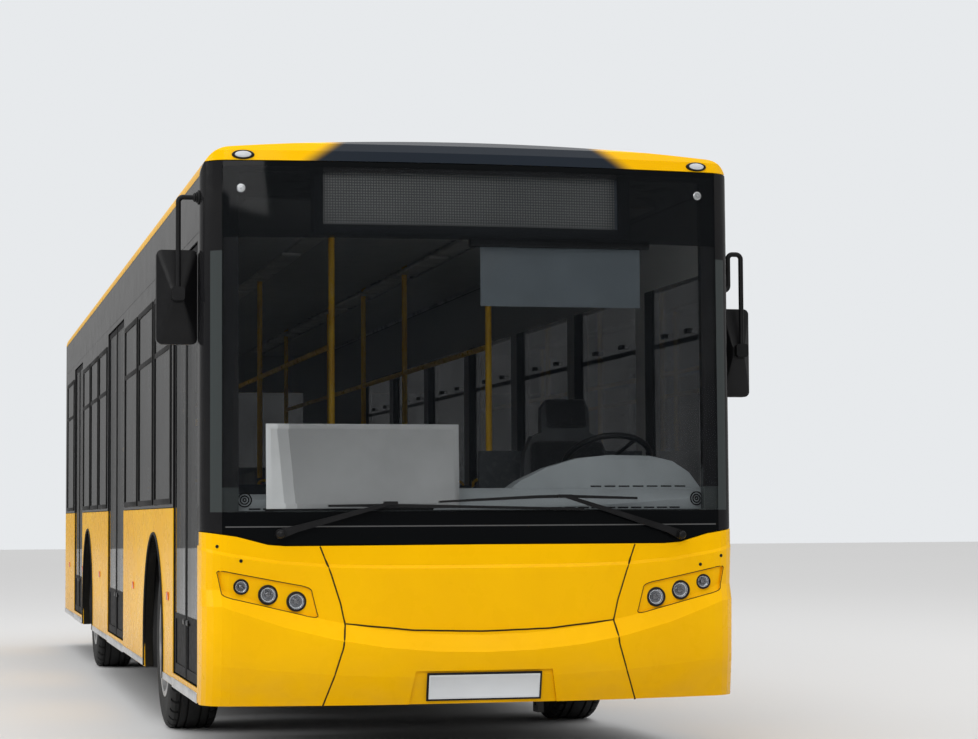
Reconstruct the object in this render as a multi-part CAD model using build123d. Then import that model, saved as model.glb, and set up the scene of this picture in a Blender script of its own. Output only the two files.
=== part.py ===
from build123d import *
import math
import os

os.makedirs("parts", exist_ok=True)

# City bus, in millimetres. +Z is up, the front faces -Y, the doors are on the -X side.
# The origin is on the ground, below the middle of the bus.

# Overall body
FRONT_OVERHANG = 2700
WHEELBASE = 5850
REAR_OVERHANG = 3440
LENGTH = FRONT_OVERHANG + WHEELBASE + REAR_OVERHANG
WIDTH = 2550
SKIRT_BOTTOM = 305
WAIST = 1208
ROOF_SPRING = 2735
ROOF_TOP = 2908
ROOF_CORNER = 130
WALL = 50
REAR_CORNER = 150
SEAM = 4
SEAT_GAP = 0.3

# Floor
FLOOR_TOP = 350
FLOOR_THICK = 45
SHEET = 12

# Axles and wheels
TYRE_R = 479
TYRE_WIDTH = 276
WHEEL_X = 1080
TWIN_SPACING = 326
RIM_SEAT_R = 290
RIM_WELL_R = 262
RIM_WALL = 12
ARCH_R = 590
STEER_BOX_X = 590
REAR_BOX_X = 520
KINGPIN_X = 905

# Front
FRONT_END = 345
MASK_TOP = 1025
MASK_TIP = 1093
MASK_THICK = 30
GLASS = 9
SCREEN_BOTTOM = 1000
SCREEN_TOP = 2795
SCREEN_HALF = 1185
OPENING_HALF = 1110
OPENING_BOTTOM = 1185
OPENING_TOP = 2750
COWL_LENGTH = 490

# Side windows
WINDOW_BOTTOM = 1225
WINDOW_TOP = 2370
WINDOW_LAP = 30

# Doors
DOOR_TOP = 2446
SILL_TOP = 370
LEAF_BOTTOM = 377
LEAF_TOP = 2440
LEAF_THICK = 36
LEAF_RECESS = 10
LEAF_STILE = 48
LEAF_MEETING_GAP = 5
LEAF_JAMB_GAP = 14
KICK_TOP = 690
LINE_OFFSET = 62
POST_INSET = 22
POST_R = 15
GUIDE_REACH = 60
ARM_THICK = 14
ARM_HALF = 13
ARM_GAP = 6
PIVOT_R = 8
PIVOT_CLEAR = 0.1
ROLLER_R = 10
ROLLER_CLEAR = 1

HALF_L = LENGTH / 2
HALF_W = WIDTH / 2
REAR_AXLE = FRONT_OVERHANG + WHEELBASE
MID_BUS = FRONT_OVERHANG + WHEELBASE / 2
FRONT_AXLE_Y = -HALF_L + FRONT_OVERHANG
REAR_AXLE_Y = FRONT_AXLE_Y + WHEELBASE
INNER_W = HALF_W - WALL


def behind_front(distance):
    """Y of a point a given distance behind the foremost point."""
    return -HALF_L + distance


def span_box(x0, x1, y0, y1, z0, z1):
    """Box between two corners."""
    low = (min(x0, x1), min(y0, y1), min(z0, z1))
    size = (abs(x1 - x0), abs(y1 - y0), abs(z1 - z0))
    return Pos(*low) * Box(*size, align=(Align.MIN, Align.MIN, Align.MIN))


def prism(points, plane, reach):
    """Prism on a closed outline, its thickness centred on the plane."""
    with BuildPart() as built:
        with BuildSketch(plane):
            with BuildLine():
                Polyline(*points, close=True)
            make_face()
        extrude(amount=reach, both=True)
    return built.part


def rod(start, end, radius):
    """Round bar between two points."""
    run = Vector(*end) - Vector(*start)
    plane = Plane(origin=start, z_dir=run)
    with BuildPart() as built:
        with BuildSketch(plane):
            Circle(radius)
        extrude(amount=run.length)
    return built.part


def mirrored(shape):
    """The same shape on the other side of the bus."""
    return mirror(shape, about=Plane.YZ)


def pair(shape):
    """A shape and its mirror image, as solids that do not touch."""
    return [shape, mirrored(shape)]


def save(name, *shapes):
    """Write one sub-part, whatever mix of solids it is made of."""
    solids = []
    for shape in shapes:
        items = shape if isinstance(shape, (list, tuple)) else [shape]
        for item in items:
            solids.extend(item.solids())
    whole = solids[0] if len(solids) == 1 else Compound(children=solids)
    export_step(whole, "parts/" + name + ".step")


# Body section: straight sides, round roof corners and a gently crowned roof
def body_section(inset):
    """Closed outline of the body across the bus, drawn in from the outer skin."""
    radius = ROOF_CORNER
    centre_x = HALF_W - radius
    rise = ROOF_TOP - radius - ROOF_SPRING
    drop = (centre_x ** 2 - rise ** 2) / (2 * rise)
    crown_r = drop + rise + radius
    crown_z = ROOF_SPRING - drop
    lean = math.asin(centre_x / (crown_r - radius))
    corner_r = radius - inset
    touch = (centre_x + corner_r * math.sin(lean), ROOF_SPRING + corner_r * math.cos(lean))
    middle = (math.pi / 2 + lean) / 2
    bulge = (centre_x + corner_r * math.sin(middle), ROOF_SPRING + corner_r * math.cos(middle))
    spring = (centre_x + corner_r, ROOF_SPRING)
    top = (0, crown_z + crown_r - inset)
    with BuildSketch(Plane.XZ) as sketch:
        with BuildLine():
            Polyline((-spring[0], spring[1]), (-spring[0], SKIRT_BOTTOM), (spring[0], SKIRT_BOTTOM), spring)
            ThreePointArc(spring, bulge, touch)
            ThreePointArc(touch, top, (-touch[0], touch[1]))
            ThreePointArc((-touch[0], touch[1]), (-bulge[0], bulge[1]), (-spring[0], spring[1]))
        make_face()
    return sketch.sketch


def body_run(y0, y1, inset):
    """Body section extruded between two places along the bus."""
    face = body_section(inset)
    return Pos(0, y1, 0) * extrude(face, amount=y1 - y0)


# Plan of the front: a wide arc, corner arcs and short straight sides
def plan_corner(depth, radius, corner):
    """Corner centre and the angle at which the wide arc meets the corner arc."""
    centre_x = HALF_W - corner
    reach = radius - corner
    angle = math.asin(centre_x / reach)
    centre_y = depth + radius - math.sqrt(reach ** 2 - centre_x ** 2)
    return centre_x, centre_y, angle


def front_path(level, inset, end):
    """Points of the front's plan at one height, from one rear end round to the other."""
    z, depth, radius, corner, narrow = level
    centre_x, centre_y, angle = plan_corner(depth, radius, corner)
    bend = corner - inset
    halfway = (angle + math.pi / 2) / 2

    def at(turn, side):
        x = centre_x - narrow + bend * math.sin(turn)
        y = behind_front(centre_y - bend * math.cos(turn))
        return (side * x, y, z)

    nose = (0, behind_front(depth + inset), z)
    side_x = HALF_W - inset - narrow
    right = [at(angle, 1), at(halfway, 1), at(math.pi / 2, 1), (side_x, behind_front(end), z)]
    left = [(-x, y, height) for x, y, height in reversed(right)]
    return left + [nose] + right


def path_edges(points):
    """Side, corner arc, wide arc, corner arc and side."""
    return [
        Line(points[0], points[1]),
        ThreePointArc(points[1], points[2], points[3]),
        ThreePointArc(points[3], points[4], points[5]),
        ThreePointArc(points[5], points[6], points[7]),
        Line(points[7], points[8]),
    ]


def front_block(levels, inset, end):
    """Solid between the plans at a few heights. Columns: z, depth, radius, corner, narrow."""
    wires = []
    for level in levels:
        points = front_path(level, inset, end)
        edges = path_edges(points) + [Line(points[-1], points[0])]
        wires.append(Wire([edge.edge() for edge in edges]))
    return Solid.make_loft(wires, True)


def front_skin(levels, outer, inner, end):
    """Wall that follows the front's plan, between two depths below its outer face."""
    wires = []
    for level in levels:
        skin = front_path(level, outer, end)
        back = front_path(level, inner, end)[::-1]
        edges = path_edges(skin) + [Line(skin[-1], back[0])]
        edges += path_edges(back) + [Line(back[-1], skin[0])]
        wires.append(Wire([edge.edge() for edge in edges]))
    return Solid.make_loft(wires, True)


# Front mask: stations across the bus, each a closed outline that runs up the skin and down inside
# Columns: depth of the middle behind the foremost point, plan radius, corner radius, height,
# rise towards the corner, how far out the rise is reached, how late the rise sets in
MASK_LINES = [
    (45, 4900, 160, 300, 0, 1180, 2),
    (12, 4820, 165, 420, 60, 1180, 2),
    (0, 4800, 170, 535, 190, 1120, 2.2),
    (60, 5600, 150, 612, 190, 1120, 2.1),
    (50, 6000, 150, 917, 70, 1200, 4),
    (62, 6200, 145, 932, 70, 1200, 4),
    (72, 6500, 140, 1110, 0, 1200, 2),
]
ARC_STEPS = [0, 0.2, 0.4, 0.6, 0.8, 1]
CORNER_STEPS = [0.2, 0.4, 0.6, 0.8, 1]
RISE_CAP = 1.06


def mask_point(line, kind, share, side, inset):
    """Point of one mask line at one station."""
    depth, radius, corner, height, rise, reach, power = line
    centre_x, centre_y, angle = plan_corner(depth, radius, corner)
    if kind == "arc":
        turn = angle * share
        x = (radius - inset) * math.sin(turn)
        y = depth + radius - (radius - inset) * math.cos(turn)
        outer_x = radius * math.sin(turn)
    elif kind == "corner":
        turn = angle + (math.pi / 2 - angle) * share
        x = centre_x + (corner - inset) * math.sin(turn)
        y = centre_y - (corner - inset) * math.cos(turn)
        outer_x = centre_x + corner * math.sin(turn)
    else:
        x = HALF_W - inset
        y = FRONT_END
        outer_x = HALF_W
    z = height + rise * min(outer_x / reach, RISE_CAP) ** power
    return (side * x, behind_front(y), z)


def mask_shell(outer_inset, inner_inset):
    """Mask skin between two depths below its outer face."""
    stations = [("arc", share) for share in ARC_STEPS]
    stations += [("corner", share) for share in CORNER_STEPS]
    stations += [("end", 0)]
    walk = [(kind, share, -1) for kind, share in reversed(stations)]
    walk += [(kind, share, 1) for kind, share in stations[1:]]
    wires = []
    for kind, share, side in walk:
        skin = [mask_point(line, kind, share, side, outer_inset) for line in MASK_LINES]
        back = [mask_point(line, kind, share, side, inner_inset) for line in MASK_LINES]
        wires.append(Wire.make_polygon(skin + back[::-1], close=True))
    return Solid.make_loft(wires, True)


REACH = 1000
FRONT_Y = behind_front(0)

# Seams of the mask, as (x, z) on the right-hand half
HATCH_SEAM = [(746, 1200), (746, 1023), (700, 900), (655, 760), (635, 668)]
BUMPER_SEAM = [(635, 668), (650, 560), (690, 430), (738, 290)]
HATCH_SILL = [(0, 627), (320, 636), (635, 668)]


def front_prism(points):
    """Prism through the front face on an outline in x and z."""
    return prism(points, Plane.XZ.offset(-FRONT_Y), REACH)


def hatch_outline(grow):
    """Outline of the centre hatch."""
    right = [(x + grow, z) for x, z in HATCH_SEAM]
    sill = [(x, z - grow) for x, z in HATCH_SILL]
    half = right + [(x, z) for x, z in reversed(sill[:-1])]
    left = [(-x, z) for x, z in reversed(half[:-1])]
    return half + left


def bumper_outline(grow):
    """Outline of the centre bumper below the hatch."""
    sill = [(x, z + grow) for x, z in HATCH_SILL]
    right = [(x + grow, z) for x, z in BUMPER_SEAM[1:]]
    half = sill + right
    left = [(-x, z) for x, z in reversed(half[1:])]
    return half + left


# Number plate recess, as (x, z)
PLATE_RECESS = [(-320, 452), (320, 452), (352, 280), (-352, 280)]
PLATE_DEPTH = 14

# Lamp pod corners, as (x, z), and its lamps. Lamp columns: x, z, radius
POD = [(1207, 914), (792, 832), (757, 696), (1182, 800)]
POD_DEPTH = 12
LAMPS = [(1100, 840, 32), (980, 803, 41), (853, 772, 41)]
LAMP_PROUD = 4


def mask_top_cut(lift, end):
    """Space between the mask's top edge, which rises to a tip at each corner, and a level."""
    half = [(0, MASK_TOP + lift), (900, MASK_TOP - 2 + lift), (980, MASK_TOP + 4 + lift),
            (1120, MASK_TOP + 42 + lift), (HALF_W + 20, MASK_TIP + lift)]
    left = [(-x, z) for x, z in reversed(half[1:])]
    return front_prism(left + half + [(HALF_W + 20, end), (-HALF_W - 20, end)])


def build_mask():
    """Centre hatch, bumper, corner panels, lamp pods and lamps."""
    shell = mask_shell(0, MASK_THICK) - mask_top_cut(0, SCREEN_TOP)
    hatch = shell & front_prism(hatch_outline(-SEAM / 2))
    bumper = shell & front_prism(bumper_outline(-SEAM / 2))
    middle = front_prism(hatch_outline(SEAM / 2)) + front_prism(bumper_outline(SEAM / 2))
    corners = shell - middle
    pod_hole = front_prism(POD)
    corners = corners - pod_hole - mirrored(pod_hole)
    recess = mask_shell(-PLATE_DEPTH, PLATE_DEPTH) & front_prism(PLATE_RECESS)
    bumper = bumper - recess
    plate = mask_shell(POD_DEPTH, MASK_THICK + POD_DEPTH) & pod_hole
    lamps = []
    for x, z, radius in LAMPS:
        hole = rod((x, FRONT_Y - 50, z), (x, behind_front(FRONT_END), z), radius + SEAT_GAP)
        barrel = rod((x, FRONT_Y - 50, z), (x, behind_front(FRONT_END), z), radius)
        plate = plate - hole
        lamps.append(barrel & mask_shell(POD_DEPTH - LAMP_PROUD, MASK_THICK + POD_DEPTH))
    save("front_hatch", hatch)
    save("front_bumper", bumper)
    save("front_corners", corners + plate + mirrored(plate))
    save("headlamps", *[pair(lamp) for lamp in lamps], *pair(marker_lamp()))


# Marker lamps on the cowl's corners
MARKER_X = 1090
MARKER_LENGTH = 100
MARKER_TALL = 42
MARKER_PROUD = 9


def marker_lamp():
    """Low oval lamp that sits on the cowl's face."""
    z = SCREEN_TOP + SEAM + MARKER_TALL / 2 + 3
    with BuildPart() as oval:
        with BuildSketch(Plane.XZ.offset(-FRONT_Y)):
            with Locations((MARKER_X, z)):
                SlotOverall(MARKER_LENGTH, MARKER_TALL)
        extrude(amount=COWL_LENGTH, both=True)
    return oval.part & front_skin(COWL_LEVELS, -MARKER_PROUD, -SEAT_GAP, COWL_LENGTH)


# Plans of the front at the windscreen's foot and head. Columns: depth, radius, corner, narrow
SCREEN_FOOT = (78, 6500, 140, 0)
SCREEN_HEAD = (118, 9000, 140, 0)
APRON_HEAD = (82, 6500, 140, 0)
OPENING_HEAD = (117, 8900, 140, 0)
# Heights of the windscreen, cowl and apron. Columns: z, depth, radius, corner, narrow
SCREEN_LEVELS = [
    (SCREEN_BOTTOM, *SCREEN_FOOT),
    (SCREEN_TOP, *SCREEN_HEAD),
]
COWL_LEVELS = [
    (SCREEN_TOP + SEAM, *SCREEN_HEAD),
    (ROOF_TOP - 62, 126, 9000, 140, 2),
    (ROOF_TOP - 24, 150, 9000, 140, 14),
    (ROOF_TOP + 10, 205, 9000, 120, 40),
]
APRON_LEVELS = [
    (SKIRT_BOTTOM + 5, *SCREEN_FOOT),
    (OPENING_BOTTOM - 5, *APRON_HEAD),
]
INSIDE_LEVELS = APRON_LEVELS + [(OPENING_TOP, *OPENING_HEAD)]
FRAME_DEPTH = 50
APRON_INSET = 50.3
APRON_BACK = 74
# Brackets that carry the mask panels, as (x, z)
MASK_BRACKETS = [(560, 960), (480, 720), (520, 560), (600, 380), (820, 950), (840, 640),
                 (1000, 420), (1120, 600)]


def build_front():
    """Windscreen, its frame with the pillars and apron, and the roof cowl."""
    y0 = FRONT_Y - 10
    y1 = behind_front(FRONT_END)
    cowl_end = behind_front(COWL_LENGTH)
    envelope = body_run(y0, cowl_end + 1, 0)
    middle = span_box(-SCREEN_HALF, SCREEN_HALF, y0, y1, SCREEN_BOTTOM - 1, SCREEN_TOP + 1)
    slim = span_box(-SCREEN_HALF + 2, SCREEN_HALF - 2, y0, y1, SCREEN_BOTTOM, SCREEN_TOP)
    below = mask_top_cut(SEAM, 0)
    screen = (front_skin(SCREEN_LEVELS, 0, GLASS, FRONT_END) & slim & envelope) - below
    sides = front_skin(SCREEN_LEVELS, 0, FRAME_DEPTH, FRONT_END) - middle
    centre = front_skin(SCREEN_LEVELS, GLASS + SEAT_GAP, FRAME_DEPTH, FRONT_END) & middle
    opening = span_box(-OPENING_HALF, OPENING_HALF, y0, y1, OPENING_BOTTOM, OPENING_TOP)
    frame = (((centre - opening) + sides) & envelope) - below
    apron = front_skin(APRON_LEVELS, APRON_INSET, APRON_BACK, FRONT_END)
    clear = mask_shell(-FRONT_END, MASK_THICK + SEAT_GAP)
    for x, z in MASK_BRACKETS:
        for side in (-1, 1):
            bar = span_box(side * x - 25, side * x + 25, FRONT_Y, y1 - 60, z - 15, z + 15)
            bar = bar - front_block(APRON_LEVELS, APRON_INSET + 5, FRONT_END)
            apron = apron + (bar - clear)
    save("windscreen", screen)
    save("front_frame", frame)
    save("front_apron", apron)

    rim = front_skin(COWL_LEVELS, 0, WALL, COWL_LENGTH) & envelope
    cap = body_run(y0, cowl_end, 0) - body_run(y0 - 1, cowl_end + 1, WALL)
    cap = cap & span_box(-HALF_W, HALF_W, y0, cowl_end, SCREEN_TOP + SEAM, ROOF_TOP + 10)
    cap = cap & front_block(COWL_LEVELS, 0, COWL_LENGTH)
    save("front_cowl", rim + cap)


# Doors along the door side. Columns: name, front edge, rear edge, both behind the front
DOORS = [
    ("front", 405, 1585),
    ("middle", MID_BUS - 735, MID_BUS + 705),
    ("rear", REAR_AXLE + 750, REAR_AXLE + 1880),
]
JAMB = 112
PILLAR = 100
DRIVER_WINDOW = (560, 1560)
ENGINE_FRONT = LENGTH - 1430


def bays(start, end, count):
    """Front and rear edges of equal windows between two places, parted by pillars."""
    width = (end - start - (count - 1) * PILLAR) / count
    edges = []
    for step in range(count):
        edge = start + step * (width + PILLAR)
        edges.append((edge, edge + width))
    return edges


def door_side_windows():
    """Windows between the doors and behind the last one."""
    front, middle, rear = DOORS
    return (bays(front[2] + JAMB, middle[1] - JAMB, 3) + bays(middle[2] + JAMB, rear[1] - JAMB, 3)
            + bays(rear[2] + JAMB, LENGTH - 430, 1))


def driver_side_windows():
    """The driver's window and those behind it, as far as the engine tower."""
    return [DRIVER_WINDOW] + bays(DRIVER_WINDOW[1] + JAMB, ENGINE_FRONT - 260, 6)


REAR_WINDOW = (980, 1600, 2370)
HATCH_DOOR = (760, 520, 1290)
# Slots in the engine hatch: nearest and furthest x, lowest, count, pitch, height
LOUVRES = (340, 720, 800, 10, 40, 22)
BUMPER_JOINT_Z = 500


def window_cut(side, y0, y1):
    """Opening and glass rebate of one side window."""
    outer = side * (HALF_W + 5)
    through = span_box(outer, side * (INNER_W - 5), y0 + WINDOW_LAP, y1 - WINDOW_LAP,
                       WINDOW_BOTTOM + WINDOW_LAP, WINDOW_TOP - WINDOW_LAP)
    rebate = span_box(outer, side * (HALF_W - GLASS - SEAT_GAP), y0, y1, WINDOW_BOTTOM, WINDOW_TOP)
    return through + rebate


def window_pane(side, y0, y1):
    """One bonded pane, flush with the side."""
    return span_box(side * HALF_W, side * (HALF_W - GLASS), y0 + 2, y1 - 2,
                    WINDOW_BOTTOM + 2, WINDOW_TOP - 2)


def arch_cut(y):
    """Wheel arch through both sides."""
    return rod((-HALF_W - 10, y, TYRE_R), (HALF_W + 10, y, TYRE_R), ARCH_R)


# Joints between outer panels: their depth, the gutter's height, the usual length of a skirt flap
JOINT_DEPTH = 3
GUTTER_Z = 2480
FLAP_LENGTH = 800


def skirt_joints(spans):
    """Places of the upright joints that part each span of skirt into equal flaps."""
    places = []
    for start, end in spans:
        count = max(1, round((end - start) / FLAP_LENGTH))
        for step in range(1, count):
            places.append(start + (end - start) * step / count)
    return places


def panel_joints(side):
    """Grooves in one side: one along under the roof edge and the upright ones of the skirt."""
    outer = side * (HALF_W + 1)
    inner = side * (HALF_W - JOINT_DEPTH)
    front, middle, rear = DOORS
    arches = [(place - ARCH_R, place + ARCH_R) for place in (FRONT_OVERHANG, REAR_AXLE)]
    if side < 0:
        spans = [(front[2], arches[0][0]), (arches[0][1], middle[1]), (middle[2], arches[1][0]),
                 (rear[2], LENGTH - REAR_CORNER)]
    else:
        spans = [(FRONT_END, arches[0][0]), (arches[0][1], arches[1][0]), (arches[1][1], LENGTH - REAR_CORNER)]
    gutter = span_box(outer, inner, behind_front(FRONT_END) - 1, HALF_L - REAR_CORNER + 1,
                      GUTTER_Z - SEAM / 2, GUTTER_Z + SEAM / 2)
    uprights = []
    for place in skirt_joints(spans):
        y = behind_front(place)
        uprights.append(span_box(outer, inner, y - SEAM / 2, y + SEAM / 2, SKIRT_BOTTOM - 1, WAIST))
    return gutter, uprights


def build_shell():
    """Side walls above and below the waist, roof, rear wall, engine hatch and all glass."""
    wall_start = behind_front(FRONT_END)
    rear_start = HALF_L - REAR_CORNER
    outer = body_run(wall_start, HALF_L, 0)
    inner = body_run(wall_start - 1, HALF_L - WALL, WALL)
    with BuildPart() as plan:
        with BuildSketch(Plane.XY):
            Rectangle(WIDTH, LENGTH)
            fillet(plan_corners_at_back(), REAR_CORNER)
        extrude(amount=ROOF_TOP + 50)
    shell = (outer - inner) & plan.part

    arches = arch_cut(FRONT_AXLE_Y) + arch_cut(REAR_AXLE_Y)
    waist_low = span_box(-HALF_W, HALF_W, wall_start, rear_start, SKIRT_BOTTOM, WAIST - SEAM / 2)
    waist_high = span_box(-HALF_W, HALF_W, wall_start, rear_start, WAIST + SEAM / 2, ROOF_SPRING)
    right = span_box(-HALF_W, 0, wall_start, HALF_L, 0, ROOF_TOP)
    left = span_box(HALF_W, 0, wall_start, HALF_L, 0, ROOF_TOP)
    low = (shell & waist_low) - arches
    high = shell & waist_high

    door_holes = [span_box(-HALF_W - 10, -INNER_W + 10, behind_front(y0), behind_front(y1),
                           SILL_TOP, DOOR_TOP) for name, y0, y1 in DOORS]
    low_right = low & right
    high_right = high & right
    for hole in door_holes:
        low_right = low_right - hole
        high_right = high_right - hole
    high_left = high & left
    panes = []
    for y0, y1 in door_side_windows():
        high_right = high_right - window_cut(-1, behind_front(y0), behind_front(y1))
        panes.append(window_pane(-1, behind_front(y0), behind_front(y1)))
    for y0, y1 in driver_side_windows():
        high_left = high_left - window_cut(1, behind_front(y0), behind_front(y1))
        panes.append(window_pane(1, behind_front(y0), behind_front(y1)))
    low_left = low & left
    gutter, uprights = panel_joints(-1)
    high_right = high_right - gutter
    for joint in uprights:
        low_right = low_right - joint
    gutter, uprights = panel_joints(1)
    high_left = high_left - gutter
    for joint in uprights:
        low_left = low_left - joint
    save("right_lower_wall", low_right)
    save("left_lower_wall", low_left)
    save("right_upper_wall", high_right)
    save("left_upper_wall", high_left)

    cowl_end = behind_front(COWL_LENGTH)
    front_strip = span_box(-HALF_W, HALF_W, wall_start - 5, cowl_end, SCREEN_TOP, ROOF_TOP + 5)
    roof = shell & span_box(-HALF_W, HALF_W, wall_start, rear_start, ROOF_SPRING, ROOF_TOP + 5)
    save("roof", roof - front_strip, roof_hatches())

    rear = shell & span_box(-HALF_W, HALF_W, rear_start, HALF_L, SKIRT_BOTTOM, ROOF_TOP + 5)
    glass_half, glass_low, glass_high = REAR_WINDOW
    rear_pane = span_box(-glass_half + 2, glass_half - 2, HALF_L - GLASS, HALF_L, glass_low + 2, glass_high - 2)
    rear = rear - span_box(-glass_half, glass_half, HALF_L - GLASS - SEAT_GAP, HALF_L + 5, glass_low, glass_high)
    rear = rear - span_box(-glass_half + WINDOW_LAP, glass_half - WINDOW_LAP, HALF_L - WALL - 5, HALF_L,
                           glass_low + WINDOW_LAP, glass_high - WINDOW_LAP)
    hatch_half, hatch_low, hatch_high = HATCH_DOOR
    rear = rear - span_box(-hatch_half, hatch_half, HALF_L - WALL - 5, HALF_L + 5, hatch_low, hatch_high)
    hatch = span_box(-hatch_half + SEAM, hatch_half - SEAM, HALF_L - WALL, HALF_L,
                     hatch_low + SEAM, hatch_high - SEAM)
    x0, x1, low_slot, count, pitch, tall = LOUVRES
    for step in range(count):
        z = low_slot + step * pitch
        hatch = hatch - span_box(x0, x1, HALF_L - WALL - 5, HALF_L + 5, z, z + tall)
    core = body_run(rear_start - 1, HALF_L - JOINT_DEPTH, JOINT_DEPTH)
    joint = span_box(-HALF_W - 1, HALF_W + 1, rear_start - 1, HALF_L + 1,
                     BUMPER_JOINT_Z - SEAM / 2, BUMPER_JOINT_Z + SEAM / 2) - core
    rear = rear - joint
    rear, tails = tail_lamps(rear)
    save("rear_wall", rear)
    save("engine_hatch", hatch)
    save("tail_lamps", tails)
    save("saloon_glass", *panes, rear_pane)


def plan_corners_at_back():
    """The two rear corners of the plan rectangle in work."""
    return BuildSketch._get_context().vertices().group_by(Axis.Y)[-1]


# Round tail lamps in a column at each rear corner. Column: height
TAIL_LAMPS = [900, 1030, 1160]
TAIL_X = 1085
TAIL_R = 52
TAIL_DEPTH = 30


def tail_lamps(rear):
    """Pockets in the rear wall and the lamps in them."""
    lamps = []
    for z in TAIL_LAMPS:
        for side in (-1, 1):
            mouth = (side * TAIL_X, HALF_L + 5, z)
            rear = rear - rod((side * TAIL_X, HALF_L - TAIL_DEPTH, z), mouth, TAIL_R + SEAT_GAP)
            lamps.append(rod((side * TAIL_X, HALF_L - TAIL_DEPTH + SEAT_GAP, z),
                             (side * TAIL_X, HALF_L - 2, z), TAIL_R))
    return rear, lamps


# Roof hatches. Column: place behind the front
ROOF_HATCHES = [FRONT_OVERHANG + 600, REAR_AXLE + 150]
HATCH_LENGTH = 900
HATCH_WIDTH = 760
HATCH_RISE = 42
HATCH_CORNER = 70
HATCH_SLOPE = 18


def roof_hatches():
    """Low lids on the roof."""
    lids = []
    for place in ROOF_HATCHES:
        y = behind_front(place)
        lid = span_box(-HATCH_WIDTH / 2, HATCH_WIDTH / 2, y - HATCH_LENGTH / 2, y + HATCH_LENGTH / 2,
                       ROOF_TOP + SEAT_GAP, ROOF_TOP + HATCH_RISE)
        lid = fillet(lid.edges().filter_by(Axis.Z), HATCH_CORNER)
        lids.append(chamfer(lid.faces().sort_by(Axis.Z)[-1].edges(), HATCH_SLOPE))
    return lids


# Towing lugs and jacking pads below the floor
TOW_FRONT = 420
TOW_REAR = 220
TOW_X = 350
TOW_Z = 262
TOW_R = 16
TOW_THICK = 30
JACK_PLACES = [FRONT_OVERHANG - 800, REAR_AXLE - 950]
JACK_X = 900
JACK_PAD = 15


def build_floor():
    """Floor pan, and sealed boxes over the four wheels."""
    y0 = behind_front(FRONT_END)
    y1 = HALF_L - WALL
    nose = [(FLOOR_TOP - FLOOR_THICK, *SCREEN_FOOT), (FLOOR_TOP, *SCREEN_FOOT)]
    pan = span_box(-INNER_W + SEAT_GAP, INNER_W - SEAT_GAP, y0, y1, FLOOR_TOP - FLOOR_THICK, FLOOR_TOP)
    pan = pan + front_block(nose, APRON_BACK + SEAT_GAP, FRONT_END)
    boxes = []
    for y, box_x in ((FRONT_AXLE_Y, STEER_BOX_X), (REAR_AXLE_Y, REAR_BOX_X)):
        for side in (-1, 1):
            top = TYRE_R + ARCH_R
            cover = span_box(side * (box_x - SHEET), side * (INNER_W - SEAT_GAP), y - ARCH_R - SHEET,
                             y + ARCH_R + SHEET, FLOOR_TOP - FLOOR_THICK, top + SHEET)
            space = span_box(side * box_x, side * (INNER_W + 1), y - ARCH_R, y + ARCH_R,
                             FLOOR_TOP - FLOOR_THICK - 1, top)
            pan = pan - span_box(side * (box_x - SHEET - SEAT_GAP), side * (INNER_W + 1),
                                 y - ARCH_R - SHEET - SEAT_GAP, y + ARCH_R + SHEET + SEAT_GAP,
                                 FLOOR_TOP - FLOOR_THICK - 1, FLOOR_TOP + 1)
            boxes.append(cover - space)
    for place in (TOW_FRONT, LENGTH - TOW_REAR):
        y = behind_front(place)
        lug = span_box(TOW_X - TOW_THICK / 2, TOW_X + TOW_THICK / 2, y - 45, y + 45,
                       TOW_Z - 38, FLOOR_TOP - FLOOR_THICK + 5)
        hole = rod((TOW_X - TOW_THICK, y, TOW_Z), (TOW_X + TOW_THICK, y, TOW_Z), TOW_R)
        pan = pan + lug - hole
    for place in JACK_PLACES:
        for side in (-1, 1):
            y = behind_front(place)
            pan = pan + span_box(side * JACK_X - 60, side * JACK_X + 60, y - 60, y + 60,
                                 FLOOR_TOP - FLOOR_THICK - JACK_PAD, FLOOR_TOP - FLOOR_THICK + 5)
    save("floor", pan)
    save("inner_boxes", boxes, engine_tower(), driver_podium())


# Wheels
HUB_BORE = 60
DISC_R = 180


def tyre_ring(centre_x):
    """Tyre round the X axis, its section mirrored about its middle."""
    half = TYRE_WIDTH / 2
    bead = RIM_SEAT_R + SEAT_GAP
    right = [
        (half * 0.86, bead),
        (half * 0.86, bead + 26),
        (half, bead + 80),
        (half * 0.97, TYRE_R - 45),
        (half * 0.88, TYRE_R - 8),
        (half * 0.6, TYRE_R),
    ]
    left = [(-x, r) for x, r in reversed(right)]
    with BuildPart() as ring:
        with BuildSketch(Plane.XY):
            with BuildLine():
                Polyline(*right, *left, close=True)
            make_face()
        revolve(axis=Axis.X)
    return Pos(centre_x, 0, 0) * ring.part


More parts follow.
